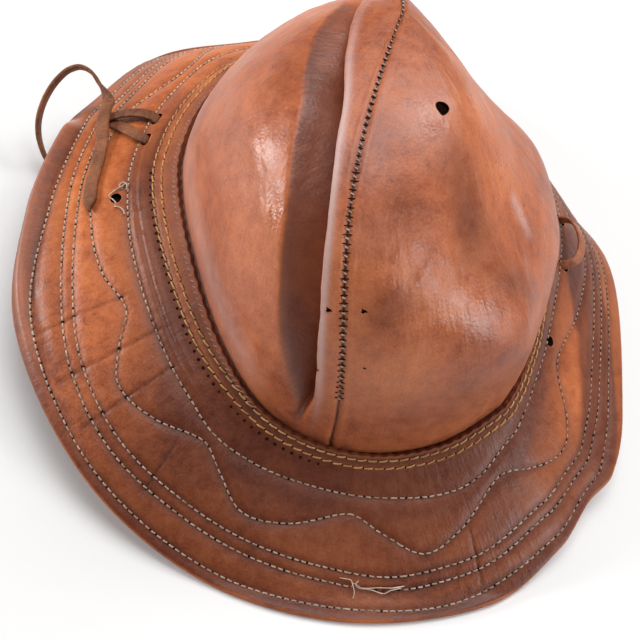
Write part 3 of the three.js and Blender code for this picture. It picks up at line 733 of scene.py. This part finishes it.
# Crown
# Two panels of thinner leather sewn together along a seam from front to back, pinched into a
# deep fold beside it by the hand that lifts the hat. The panels tuck in behind the brim's lip.
CROWN_WALL = 1.6
CLEARANCE = 0.35
APEX = np.array((-4.5, 16.0, 134.5))
BAND_HEIGHT = 10.0
BAND_SHARE = 0.1
SEAM_FRONT, SEAM_LEAN, SEAM_BACK = -6.2, -9.3, 178.0
CROWN_SECTIONS = np.array((
    # angle, power, drop, sway
    (-180, 1.30, 1.55, 0), (-135, 1.38, 1.50, 0), (-90, 1.08, 1.20, -3), (-45, 0.65, 1.00, -8),
    (-7, 0.45, 1.00, -14), (40, 0.72, 1.05, -8), (68, 1.00, 1.20, -6), (90, 1.50, 1.55, -3),
    (135, 1.50, 1.85, 0),
)) * np.array((1, 1, 1, SIZE))
FOLD = SIZE * np.array((
    # x, y, z, depth, width of the left slope along the pinched fold
    (-21.5, 22, 117, 3, 5), (-25.5, 4, 118.5, 8, 7), (-27, -8, 119, 12, 7), (-27.6, -23, 119, 16, 7),
    (-29.3, -41, 116, 18, 8.3), (-29.8, -56, 110, 18, 8.6), (-28.9, -72, 95, 17, 9.2),
    (-26.8, -81, 77, 15, 8), (-23.6, -86.5, 55, 10, 4.5), (-22.5, -88.5, 42, 3, 1.5),
))
FOLD_RIGHT, FOLD_TUCK, FOLD_LEAN = 2.6, 3.6, 0.46   # width of the right slope; how it leans over
# FOLD_RIDGE and RIDGE_WIDTH place a painted highlight along the ridge on the fold's right
FOLD_LIP, FOLD_RIDGE = 0.7, 7.0                     # softness of the left edge; place of the ridge
FOLD_END, RIDGE_WIDTH = 9.0, 1.7
DENTS = SIZE * np.array((
    # x, y, z, radius, depth
    (24, -44, 95, 26, 7), (34, -66, 70, 18, -5), (64, -26, 66, 24, -5), (-52, -20, 100, 26, -3),
    (42, 46, 88, 34, 9), (52, 6, 76, 20, -3.5),
))


def crown_foot(angle):
    s = around(BRIM_SECTIONS, angle)
    inset = s[..., 7] + LIP_THICKNESS / 2 + CLEARANCE
    return np.concatenate((s[..., 0:2] - band_outward(angle) * inset[..., None], s[..., 2:3] - 1.5), -1)


def crown_dome(angle, s):
    angle, s = np.broadcast_arrays(np.asarray(angle, float), np.asarray(s, float))
    foot = crown_foot(angle)
    power, drop, sway = np.moveaxis(around(CROWN_SECTIONS, angle), -1, 0)
    share = np.clip((s - BAND_SHARE) / (1 - BAND_SHARE), 0, 1)
    phi = np.pi / 2 * (1 - (1 - share) ** 2.2)
    rho = np.maximum(np.cos(phi), 0) ** power
    zeta = np.sin(phi) ** drop
    base = foot[..., 2] + BAND_HEIGHT
    band = s < BAND_SHARE
    x = APEX[0] + (foot[..., 0] - APEX[0]) * rho + sway * zeta * zeta * rho
    y = APEX[1] + (foot[..., 1] - APEX[1]) * rho
    z = np.where(band, foot[..., 2] + BAND_HEIGHT * s / BAND_SHARE, base + (APEX[2] - base) * zeta)
    return np.stack((x, y, z), -1)


def smooth_path(points, u):
    """Point at u, 0 to 1, on a smooth curve through the points (centripetal)."""
    last = len(points) - 1
    k = min(int(u * last), last - 1)
    w = u * last - k
    p1, p2 = points[k], points[k + 1]
    p0 = points[k - 1] if k > 0 else 2 * p1 - p2
    p3 = points[k + 2] if k + 2 <= last else 2 * p2 - p1
    d0, d1, d2 = (np.linalg.norm(b - a) ** 0.5 for a, b in ((p0, p1), (p1, p2), (p2, p3)))
    t1 = ((p1 - p0) / d0 - (p2 - p0) / (d0 + d1) + (p2 - p1) / d1) * d1
    t2 = ((p2 - p1) / d1 - (p3 - p1) / (d1 + d2) + (p3 - p2) / d2) * d1
    return p1 + t1 * w + (3 * (p2 - p1) - 2 * t1 - t2) * w**2 + (2 * (p1 - p2) + t1 + t2) * w**3


FOLD_LINE = np.array([smooth_path(FOLD, u) for u in np.linspace(0, 1, 37)])


def fold_press(p, normal):
    """How the dents and the pinched fold move the leather: inwards, and aside under the fold's lip; also the
    painted shade inside the fold and the painted highlight along its ridge.
    """
    depth = np.zeros(p.shape[:-1])
    for x, y, z, radius, deep in DENTS:
        depth += deep * np.exp(-((p - (x, y, z)) ** 2).sum(-1) / radius**2)
    best = np.full(depth.shape, np.inf)
    fold, shade, ridge_highlight = (np.zeros(depth.shape) for _ in range(3))
    lean = np.zeros(p.shape)
    for a, b in zip(FOLD_LINE[:-1], FOLD_LINE[1:]):
        run = b[:3] - a[:3]
        u = np.clip((p - a[:3]) @ run / (run @ run), 0, 1)
        off = p - a[:3] - u[..., None] * run
        gap = np.linalg.norm(off, axis=-1)
        aside = unit(np.cross(normal, run))
        t = (off * aside).sum(-1)
        deep = (a[3] + u * (b[3] - a[3])) * bell(off @ unit(run), FOLD_END)
        near = gap < best
        best = np.where(near, gap, best)
        wide = a[4] + u * (b[4] - a[4])
        wall = (t + wide + np.sqrt((t + wide) ** 2 + FOLD_LIP**2)) / (2 * wide)
        # painted shade on the fold's inner wall, darkest next to its left lip
        inside = smooth(-0.3, 0.5, t + wide) * (1 - smooth(0.5, 2.2, t)) * smooth(0.8, 3.0, deep)
        shade = np.where(near, inside * (0.72 - 0.40 * smooth(0, wide, t + wide)), shade)
        fold = np.where(near, deep * np.where(t < 0, wall, bell(t, FOLD_RIGHT)), fold)
        # painted highlight along the rounded ridge right of the fold
        ridge_highlight = np.where(near, deep * bell(t - FOLD_RIDGE, RIDGE_WIDTH), ridge_highlight)
        lean = np.where(near[..., None], aside * (FOLD_LEAN * deep * bell(t, FOLD_TUCK))[..., None], lean)
    return lean - normal * (depth + fold)[..., None], shade, ridge_highlight / FOLD[:, 3].max()


def crown_normal(surface, angle, s):
    da = surface(angle + 0.6, s) - surface(angle - 0.6, s)
    ds = surface(angle, np.minimum(s + 0.012, 1)) - surface(angle, np.maximum(s - 0.012, 0))
    upright = smooth(0.78, 0.92, s)[..., None]
    return unit(unit(np.cross(da, ds)) * (1 - upright) + np.array((0, 0, 1.0)) * upright)


def crown_outer(angle, s):
    angle, s = np.broadcast_arrays(np.asarray(angle, float), np.asarray(s, float))
    p = crown_dome(angle, s)
    free = smooth(BAND_HEIGHT, BAND_HEIGHT + 15, p[..., 2] - crown_foot(angle)[..., 2])
    return p + fold_press(p, crown_normal(crown_dome, angle, s))[0] * free[..., None]


PANEL_COLUMNS = 320
PANEL_LEVELS = 140
CROWN_SOIL_AND_SHADE = (
    # angle, level, width, how dark: dirt, and painted shade in the dents and low down
    (34, 0.545, 6, 0.25), (34, 0.49, 8, 0.34), (33, 0.44, 10, 0.48), (36, 0.385, 10, 0.50),
    (39, 0.32, 7, 0.40), (46, 0.29, 7, 0.42), (53, 0.258, 6, 0.36), (28, 0.36, 7, 0.25), (6, 0.505, 8, 0.32),
    (5.5, 0.345, 7, 0.30), (1, 0.32, 6, 0.35), (20, 0.16, 22, 0.32), (45, 0.16, 18, 0.32),
    (-60, 0.20, 14, 0.08), (-70, 0.45, 9, 0.30),
)
CROWN_WEAR_AND_HIGHLIGHT = (
    # angle, level, width, how pale: the first four a painted highlight along the right ridge, the rest
    # rubbed leather, partly painted light
    (65, 0.335, 2.6, 0.34), (65.3, 0.315, 2.6, 0.38), (65, 0.30, 2.6, 0.38), (64.5, 0.285, 2.4, 0.30),
    (10, 0.72, 16, 0.10), (22, 0.60, 10, 0.10), (-8, 0.60, 10, 0.10), (-6, 0.45, 9, 0.07),
    (-45, 0.20, 14, 0.09),
)
CROWN_POLISH = (
    # angle, level, width, how smooth the leather is rubbed
    (-57, 0.35, 10, 1.0), (-38, 0.36, 6, 1.0), (20, 0.66, 9, 0.9), (18, 0.30, 10, 0.6),
    (30, 0.295, 9, 0.6), (62, 0.53, 8, 0.8), (64.5, 0.388, 6, 1.0), (67, 0.30, 6, 1.0),
)
CROWN_WRINKLES = (
    # from angle, level to angle, level, depth, width
    (-66, 0.37, -48, 0.37, 0.7, 1.3), (-49, 0.36, -34, 0.33, 0.9, 1.1), (31.5, 0.615, 27, 0.51, 0.6, 1.0),
    (8, 0.27, 27, 0.36, 0.6, 1.3), (12, 0.23, 31, 0.32, 0.7, 1.4), (17, 0.20, 38, 0.29, 0.6, 1.5),
    (5, 0.34, 20, 0.41, 0.5, 1.3), (-36, 0.22, -26, 0.14, 0.5, 1.4), (46, 0.24, 58, 0.31, 0.5, 1.4),
)
ROUGHNESS = 0.4
SEAM_GROOVE, SEAM_RIDGE, SEAM_RIDGE_PLACE = (0.4, 1.1), (0.25, 1.2), 2.2   # height, width; from the seam
FOOT_WEAR_AND_HIGHLIGHT, FOOT_WEAR_AND_HIGHLIGHT_LEVEL = 0.3, 22.0
INSIDE_DARK = 0.4


def spots(table, points):
    """Round patches on the crown, added up at the points: dirt and painted shade, wear and painted
    highlight, polish.
    """
    much = np.zeros(points.shape[:-1])
    for angle, s, wide, share in table:
        centre = crown_outer(np.array(float(angle)), np.array(s))
        much += share * bell(np.linalg.norm(points - centre, axis=-1), wide)
    return much


def crown_panel(name, back, shift):
    """One leather panel from the front seam to the back seam, with its wall thickness."""
    K, S = np.meshgrid(np.linspace(0, 1, PANEL_COLUMNS), np.linspace(0, 1, PANEL_LEVELS), indexing="ij")
    front = SEAM_FRONT + SEAM_LEAN * S
    A = front + (back - front) * K**1.6
    outer = crown_outer(A, S)
    normal = crown_normal(crown_outer, A, S)
    dome_normal = crown_normal(crown_dome, A, S)
    inner = outer - dome_normal * CROWN_WALL
    seam_gap = np.minimum(np.linalg.norm(outer - outer[:1], axis=-1),
                          np.linalg.norm(outer - outer[-1:], axis=-1))
    foot = np.linalg.norm(outer[:, :1] - outer, axis=-1)
    rough = np.array([noise.fractal((x * 0.05, y * 0.05, z * 0.09), 1.0, 2.0, 4)
                      for x, y, z in outer.reshape(-1, 3)]).reshape(A.shape)
    lift = (ROUGHNESS * rough * smooth(8, 25, foot) - SEAM_GROOVE[0] * bell(seam_gap, SEAM_GROOVE[1])
            + SEAM_RIDGE[0] * bell(seam_gap - SEAM_RIDGE_PLACE, SEAM_RIDGE[1]))
    lines = np.zeros(A.shape)
    for a0, s0, a1, s1, deep, wide in CROWN_WRINKLES:
        ends = crown_outer(np.array((a0, a1), float), np.array((s0, s1)))
        run = ends[1] - ends[0]
        u = np.clip((outer - ends[0]) @ run / (run @ run), 0, 1)
        bend = 2.0 * np.sin(np.pi * u) + 0.5 * np.sin(9 * u + a0)
        off = outer - ends[0] - u[..., None] * run + bend[..., None] * np.array((0, 0, 0.6))
        gap = np.linalg.norm(off, axis=-1)
        swell = deep * np.sin(np.pi * u)
        lift += swell * (0.8 * bell(gap - wide * 1.4, wide) - bell(gap, wide * 0.8))
        # painted shade along the crease of each wrinkle
        lines += 0.5 * swell * bell(gap, 0.6 * wide)
    outer = outer + normal * lift[..., None]
    points = np.concatenate((outer, inner[:, ::-1]), 1) + (shift, 0, 0)

    _, shade, ridge_highlight = fold_press(crown_dome(A, S), dome_normal)
    left_foot = FOOT_WEAR_AND_HIGHLIGHT * bell(foot - FOOT_WEAR_AND_HIGHLIGHT_LEVEL, 10.0) * between(-125, -105, -40, -22, A)
    # Painted shade inside the fold, along the wrinkles' creases and just above the brim's lip; a dark line
    # along the seam; the spots add dirt, and painted shade in the dents.
    soil_and_shade = (0.9 * bell(seam_gap, 0.45) + 0.3 * bell(foot - 9.0, 2.0) + shade + lines
            + spots(CROWN_SOIL_AND_SHADE, outer))
    # Painted highlight along the ridge beside the fold, a pale cast in the fold's painted shade, and rubbed
    # leather with painted highlight at the left foot and in the spots.
    wear_and_highlight = 0.8 * ridge_highlight + 0.085 * shade + left_foot + spots(CROWN_WEAR_AND_HIGHLIGHT, outer)
    polish = np.clip(spots(CROWN_POLISH, outer), 0, 1)
    plain = np.zeros(A.shape)
    marks = {"soil_and_shade": np.concatenate((np.clip(soil_and_shade, 0, 1), plain + INSIDE_DARK), 1),
             "wear_and_highlight": np.concatenate((wear_and_highlight, plain), 1), "polish": np.concatenate((polish, plain), 1)}
    arc = np.radians(np.abs(A - front)) * 0.08
    flow = np.stack((np.concatenate((arc, arc[:, ::-1]), 1),
                     np.concatenate((S * 0.13, 0.3 - S * 0.13), 1)), -1)

    count = points.shape[1]
    j = np.arange(PANEL_LEVELS - 1)
    cap = np.stack((j, j + 1, count - 2 - j, count - 1 - j), -1)
    far_cap = (cap + (PANEL_COLUMNS - 1) * count)[:, ::-1]
    quads = np.concatenate((grid_quads(PANEL_COLUMNS, count, False, True), cap, far_cap))
    return leather_object(name, points, quads, marks, flow)


crown_right = crown_panel("crown_right_leather", SEAM_BACK, CLEARANCE / 4)
crown_left = crown_panel("crown_left_leather", SEAM_BACK - 360, -CLEARANCE / 4)
crown_hide = hide("crown_hide", dark=(0.24, 0.056, 0.024), middle=(0.42, 0.113, 0.041),
                  light=(0.58, 0.182, 0.068), pale=(0.62, 0.44, 0.41), gloss=0.40, patch=20.0,
                  pore=1000.0, wrinkle=(260.0, 120.0))
crown_right.data.materials.append(crown_hide)
crown_left.data.materials.append(crown_hide)

VENT = (32.3, 0.632)
PUNCTURES = (
    # panel, angle, level, size
    (crown_left, -13.0, 0.31, 1.2), (crown_right, -4.0, 0.325, 1.2),
    (crown_left, -14.5, 0.21, 0.55), (crown_right, -2.75, 0.238, 0.65),
)
PUNCH_REACH = 2.6
turns = np.linspace(0, 2 * math.pi, 25)[:-1]
drop = [(2.6 * math.cos(t) * (1 - 0.45 * max(-math.sin(t), 0) ** 2),
         math.sin(t) * (3.3 if math.sin(t) < 0 else 2.1)) for t in turns]
ragged = [0.8 + 0.18 * math.cos(3 * t) + 0.14 * math.cos(5 * t + 1) for t in turns]
star = [(r * math.cos(t), 0.8 * r * math.sin(t)) for r, t in zip(ragged, turns)]


def crown_cutter(angle, s, outline):
    place = np.array((angle, s))
    normal = crown_normal(crown_outer, *place)
    return cutter(crown_outer(*place), normal, np.array((1.0, 0, 0)), outline, PUNCH_REACH, PUNCH_REACH)


holes = [(crown_right, crown_cutter(*VENT, drop))]
for panel, angle, s, wide in PUNCTURES:
    holes.append((panel, crown_cutter(angle, s, [(u * wide, v * wide) for u, v in star])))
for panel in (crown_right, crown_left):
    punch(panel, [tool for cut_panel, tool in holes if cut_panel == panel])
for panel, node in ((crown_right, "crown_right"), (crown_left, "crown_left")):
    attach(panel, "root")
    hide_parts(node)

# Seam of the crown
# The two panels are joined edge to edge by a short overcast stitch along the seam, with ticks of
# painted shade across it where the needle went in. They are longer below and shorter towards the top.
SEAM_STITCH = {"Pitch": 2.8, "Length": 0.9, "Thickness": 0.55, "Arch": 0.2, "Turn": 1.1}
LONG_TICK = {"Pitch": 2.8, "Length": 3.0, "Thickness": 0.4, "Arch": 0.1, "Turn": math.pi / 2}
SHORT_TICK = {"Pitch": 2.8, "Length": 1.6, "Thickness": 0.42, "Arch": 0.1, "Turn": math.pi / 2}
SEAM_LOW, SEAM_MIDDLE, SEAM_TOP = 0.18, 0.56, 0.985


def seam_line(angle, lean, lift, low, high):
    level = np.linspace(low, high, 500)
    a = angle + lean * level
    n = crown_normal(crown_outer, a, level)
    return crown_outer(a, level) + n * lift, n, False


seam_thread = thread("seam_thread", (0.48, 0.38, 0.31), (0.26, 0.18, 0.13))
bead_sewing = stitching("seam_beads", seam_thread)
tick_sewing = stitching("seam_ticks", needle_pit)
TICK_SINK = -0.12
for name, lift, low, high, sewing, sizes in (
        ("seam_stitches", 0.0, SEAM_LOW, SEAM_TOP, bead_sewing, SEAM_STITCH),
        ("seam_long_ticks", TICK_SINK, SEAM_LOW, SEAM_MIDDLE, tick_sewing, LONG_TICK),
        ("seam_short_ticks", TICK_SINK, SEAM_MIDDLE, SEAM_TOP, tick_sewing, SHORT_TICK)):
    sewn(name, [seam_line(SEAM_FRONT, SEAM_LEAN, lift, low, high),
                seam_line(SEAM_BACK, 0.0, lift, low, high)], sewing, sizes)

# Keepers for the chin lace
# Short straps of brown leather, each threaded through two slots in the brim and fixed below.
# The left one lies doubled on the brim under the lace, the right one stands up as a loop.
KEEPER_WIDTH, KEEPER_THICKNESS = 5.0, 1.2
LEFT_KEEPER = (
    # angle, place across the brim, height
    (-108, 0.14, -5), (-108, 0.14, 0.5), (-108, 0.19, 3), (-107.8, 0.32, 4.6), (-107.4, 0.46, 4.4),
    (-107, 0.54, 4), (-106.8, 0.6, 3.95), (-106.7, 0.63, 3.05), (-106.6, 0.6, 2.15), (-106.2, 0.54, 2.15),
    (-104.6, 0.4, 2.4), (-101.8, 0.2, 2.5), (-101.5, 0.14, 0.5), (-101.5, 0.14, -5),
)
RIGHT_KEEPER = (
    (93, 0.13, -5), (93, 0.13, 1), (92.2, 0.135, 4.6), (89.7, 0.15, 7.6), (86.2, 0.17, 8.6),
    (83.8, 0.17, 6.2), (83, 0.15, 1), (83, 0.15, -5),
)


def strap(name, stops, width, thickness, steps, pointed=False):
    """A flat leather strip with soft edges along stops of (point, direction of its width)."""
    points = [np.asarray(p, float) for p, _ in stops]
    wide = [np.asarray(w, float) for _, w in stops]
    last = len(stops) - 1
    rows, middle = [], []
    for i in range(steps + 1):
        u = i / steps
        k = min(int(u * last), last - 1)
        blend = u * last - k
        centre = smooth_path(points, u)
        forward = unit(smooth_path(points, min(u + 1e-4, 1)) - smooth_path(points, max(u - 1e-4, 0)))
        side = wide[k] * (1 - blend) + wide[k + 1] * blend
        side = unit(side - forward * (side @ forward))
        up = np.cross(forward, side)
        tip = min(max((1 - u) / 0.011, 0.08), 1.0) if pointed else 1.0
        a = width / 2 * tip * (1 + 0.03 * noise.noise((centre[0] * 0.3, centre[1] * 0.3, 2.0)))
        b = thickness / 2
        c = min(a, b) * 0.45
        upper_half = ((a, 0), (a - 0.1 * c, b - c), (a - c, b), (a / 2, b), (0, b), (-a / 2, b), (c - a, b),
                      (0.1 * c - a, b - c))
        section = upper_half + tuple((-x, -y) for x, y in upper_half)
        rows.append([centre + side * x + up * y for x, y in section])
        middle.append(centre)
    for end, centre in ((0, middle[0]), (len(rows), middle[-1])):
        rows.insert(end, [centre + (p - centre) * 0.1 for p in rows[min(end, len(rows) - 1)]])
    rows, middle = np.array(rows), np.array(middle)
    count = rows.shape[1]
    run = np.concatenate(([0, 0], np.cumsum(np.linalg.norm(np.diff(middle, axis=0), axis=1)))) * MM
    run = np.append(run, run[-1])
    girth = np.tile(np.linspace(0, 2 * width * MM, count), (len(rows), 1))
    flow = np.stack((np.repeat(run[:, None], count, 1), girth), -1)
    plain = np.zeros(rows.shape[:2])
    piece = leather_object(name, rows, grid_quads(len(rows), count, False, True),
                           {"soil_and_shade": plain, "wear_and_highlight": plain}, flow)
    return piece, middle


def on_brim(rows, direction):
    stops = []
    for angle, q, height in rows:
        normal = brim_normal(np.array(float(angle)), np.array(float(q)))
        stops.append((brim_middle(angle, q) + normal * height, direction(angle, q)))
    return stops


keeper_left, _ = strap("left_keeper", on_brim(LEFT_KEEPER, along), KEEPER_WIDTH, KEEPER_THICKNESS, 120)
keeper_right, _ = strap("right_keeper", on_brim(RIGHT_KEEPER, across), KEEPER_WIDTH, KEEPER_THICKNESS, 80)
lace_hide = hide("lace_hide", dark=(0.090, 0.028, 0.011), middle=(0.20, 0.066, 0.024),
                 light=(0.33, 0.115, 0.043), pale=(0.4, 0.25, 0.16), gloss=0.6, patch=60.0,
                 pore=1500.0, wrinkle=(900.0, 150.0), crease=0.9)
keeper_hide = hide("keeper_hide", dark=(0.20, 0.060, 0.028), middle=(0.37, 0.125, 0.053),
                   light=(0.53, 0.20, 0.09), pale=(0.5, 0.3, 0.2), gloss=0.5, patch=60.0,
                   pore=1300.0, wrinkle=(700.0, 150.0), crease=0.7)
for keeper, leather, slot_name, node in (
        (keeper_left, lace_hide, "lace_leather", "lace_keeper_left"),
        (keeper_right, keeper_hide, "keeper_leather", "lace_keeper_right")):
    keeper.data.materials.append(leather)
    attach(keeper, "root")
    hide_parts(node)

# Chin lace
# A flat lace of dark leather, cut to a point. It starts under the right of the brim, lies on the
# surface round the back, stands up in a stiff bow at the left and ends across the left keeper.
LACE_WIDTH, LACE_THICKNESS = 5.5, 1.5
LACE_UNDER = (
    # angle, place across the brim, height above the surface in metres
    (88, 0.3, 0.028), (88.5, 0.31, 0.023), (91, 0.34, 0.015), (96, 0.4, 0.0075), (103, 0.46, 0.0025),
    (112, 0.5, 0.0012), (122, 0.5, 0.0012), (133, 0.5, 0.0012), (145, 0.5, 0.0012), (157, 0.5, 0.0012),
    (169, 0.5, 0.0012), (180, 0.5, 0.0012), (-169, 0.5, 0.0012), (-157, 0.5, 0.0012), (-146, 0.5, 0.0013),
    (-135, 0.52, 0.0024),
)
LACE_BOW = (
    # x, y, z in metres
    (-0.1010, 0.0560, 0.0036), (-0.1065, 0.0420, 0.0037), (-0.1125, 0.0315, 0.0037),
    (-0.1200, 0.0260, 0.0039), (-0.1275, 0.0265, 0.0050), (-0.1327, 0.0310, 0.0076),
    (-0.1359, 0.0356, 0.0116), (-0.1374, 0.0400, 0.0162), (-0.1372, 0.0443, 0.0211),
    (-0.1352, 0.0500, 0.0262), (-0.1316, 0.0552, 0.0309), (-0.1270, 0.0594, 0.0342),
    (-0.1220, 0.0608, 0.0358), (-0.1170, 0.0589, 0.0356), (-0.1130, 0.0545, 0.0336),
)
LACE_TAIL = (
    # angle, place across the brim, height over its leather in metres
    (-112, 0.645, 0.0054), (-109.5, 0.61, 0.00575), (-107, 0.58, 0.0058), (-104, 0.545, 0.0055),
    (-100.5, 0.505, 0.0036), (-96, 0.475, 0.0026), (-91, 0.475, 0.0025), (-85, 0.47, 0.0025),
)
BOW_WIDTH = np.array((-0.13, -0.51, 0.85))
lace_stops = []
for angle, q, z in LACE_UNDER:
    place = brim_middle(angle, q)
    flat = across(angle, q) * (1, 1, 0)
    lace_stops.append((np.array((place[0], place[1], z / MM)), unit(flat)))
lace_stops += [(np.array(point) / MM, BOW_WIDTH) for point in LACE_BOW]
lace_stops += on_brim([(angle, q, height / MM) for angle, q, height in LACE_TAIL],
                      lambda angle, q: -across(angle, q))
lace, lace_middle = strap("chin_lace_leather", lace_stops, LACE_WIDTH, LACE_THICKNESS, 420, pointed=True)
lace.data.materials.append(lace_hide)
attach(lace, "root")
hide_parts("chin_lace")

# Loose threads
# Ends of the pale thread where the sewing has broken: a tuft and a frayed length on the front of
# the brim, and the remains of a tie through the left eyelet.
LOOSE_THREADS = (
    # thickness, then stops of angle, place across the brim, height
    (0.45, ((-1.2, 0.712, 1.3), (-0.2, 0.712, 1.9), (0.7, 0.715, 2.3), (1.1, 0.75, 2.5), (1.4, 0.80, 2.2),
            (1.2, 0.85, 1.6))),
    (0.40, ((2.4, 0.77, 1.3), (1.7, 0.755, 2.1), (1.6, 0.735, 2.6), (2.0, 0.715, 2.7))),
    (0.35, ((2.6, 0.77, 1.3), (2.0, 0.75, 2.2), (1.2, 0.735, 2.5), (0.9, 0.76, 2.2))),
    (0.50, ((2.2, 0.765, 1.4), (3.6, 0.765, 1.9), (5.4, 0.76, 2.0), (7.7, 0.765, 2.0), (9.8, 0.76, 1.6))),
    (0.45, ((2.4, 0.77, 1.3), (4.2, 0.775, 1.8), (6.3, 0.80, 2.0), (7.3, 0.782, 1.9), (9.3, 0.772, 1.5))),
    (0.60, ((-90.4, 0.20, 1.3), (-89.4, 0.225, 2.2), (-88.8, 0.28, 2.0), (-87.6, 0.33, 1.8),
            (-86.8, 0.30, 1.2), (-85.6, 0.275, 0.6), (-84.9, 0.285, 1.6), (-84.3, 0.25, 2.0),
            (-83.4, 0.22, 1.9), (-82.4, 0.212, 1.3))),
    (0.70, ((-88.6, 0.20, 1.3), (-89.4, 0.19, 2.3), (-90.2, 0.225, 2.4), (-89.6, 0.25, 2.1),
            (-88.9, 0.23, 1.3))),
)
FLATNESS = (0.8, 0.7)
loose_thread = thread("loose_thread", (0.64, 0.54, 0.45), (0.42, 0.31, 0.24))
for number, (thick, stops) in enumerate(LOOSE_THREADS, 1):
    wisp, _ = strap("loose_thread_%d" % number, on_brim(stops, along), thick * FLATNESS[0],
                    thick * FLATNESS[1], 40)
    wisp.data.materials.append(loose_thread)
    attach(wisp, "root")

# Studio
# A plain pale floor under the hat and soft light from large lamps above.
bpy.ops.mesh.primitive_plane_add(size=6.0, location=(0, 0, -0.0002))
floor = bpy.context.object
floor.name = "floor"
paper, _, paper_shader = finish("pale_paper")
paper_shader.inputs["Base Color"].default_value = (0.86, 0.86, 0.86, 1)
paper_shader.inputs["Roughness"].default_value = 0.9
floor.data.materials.append(paper)

world = bpy.data.worlds.new("studio")
world.use_nodes = True
world.node_tree.nodes["Background"].inputs["Color"].default_value = (1.0, 0.98, 0.96, 1)
world.node_tree.nodes["Background"].inputs["Strength"].default_value = 0.13
bpy.context.scene.world = world
bpy.context.scene.view_settings.view_transform = "Standard"
LAMPS = (
    # name, place, aim, size, watts
    ("overhead window", (0.05, 0.30, 1.15), (0.0, 0.0, 0.07), 0.8, 9.5),
    ("left window", (-1.15, 0.15, 0.36), (0.0, 0.0, 0.08), 0.4, 11.0),
    ("back window", (0.72, 0.54, 0.98), (0.0, 0.0, 0.07), 0.4, 4.5),
    ("front fill", (0.85, -0.52, 0.46), (0.0, 0.0, 0.08), 0.4, 5.2),
)
for name, place, aim, size, watts in LAMPS:
    data = bpy.data.lights.new(name, "AREA")
    data.size = size
    data.energy = watts
    lamp = bpy.data.objects.new(name, data)
    bpy.context.scene.collection.objects.link(lamp)
    lamp.location = place
    lamp.rotation_euler = (Vector(aim) - Vector(place)).to_track_quat("-Z", "Y").to_euler()

# Camera
# The photograph's view: from the front left and well above, tilted to the right.
AZIMUTH, ELEVATION, ROLL = (math.radians(v) for v in (-14.0, 58.0, 18.0))
VIEW_ANGLE = math.radians(32.0)
VIEW_DISTANCE = 0.4343
VIEW_TARGET = Vector((-0.00735, -0.0396, 0.0335))
back = Vector((math.sin(AZIMUTH) * math.cos(ELEVATION), -math.cos(AZIMUTH) * math.cos(ELEVATION),
               math.sin(ELEVATION)))
level_right = Vector((math.cos(AZIMUTH), math.sin(AZIMUTH), 0))
level_up = back.cross(level_right)
right = math.cos(ROLL) * level_right + math.sin(ROLL) * level_up
up = math.cos(ROLL) * level_up - math.sin(ROLL) * level_right
lens = bpy.data.cameras.new("camera")
lens.sensor_width = 36.0
lens.lens = 18.0 / math.tan(VIEW_ANGLE / 2)
lens.clip_start = 0.01
camera = bpy.data.objects.new("camera", lens)
bpy.context.scene.collection.objects.link(camera)
turned = Matrix((right, up, back)).transposed().to_4x4()
camera.matrix_world = Matrix.Translation(VIEW_TARGET + back * VIEW_DISTANCE) @ turned
bpy.context.scene.camera = camera
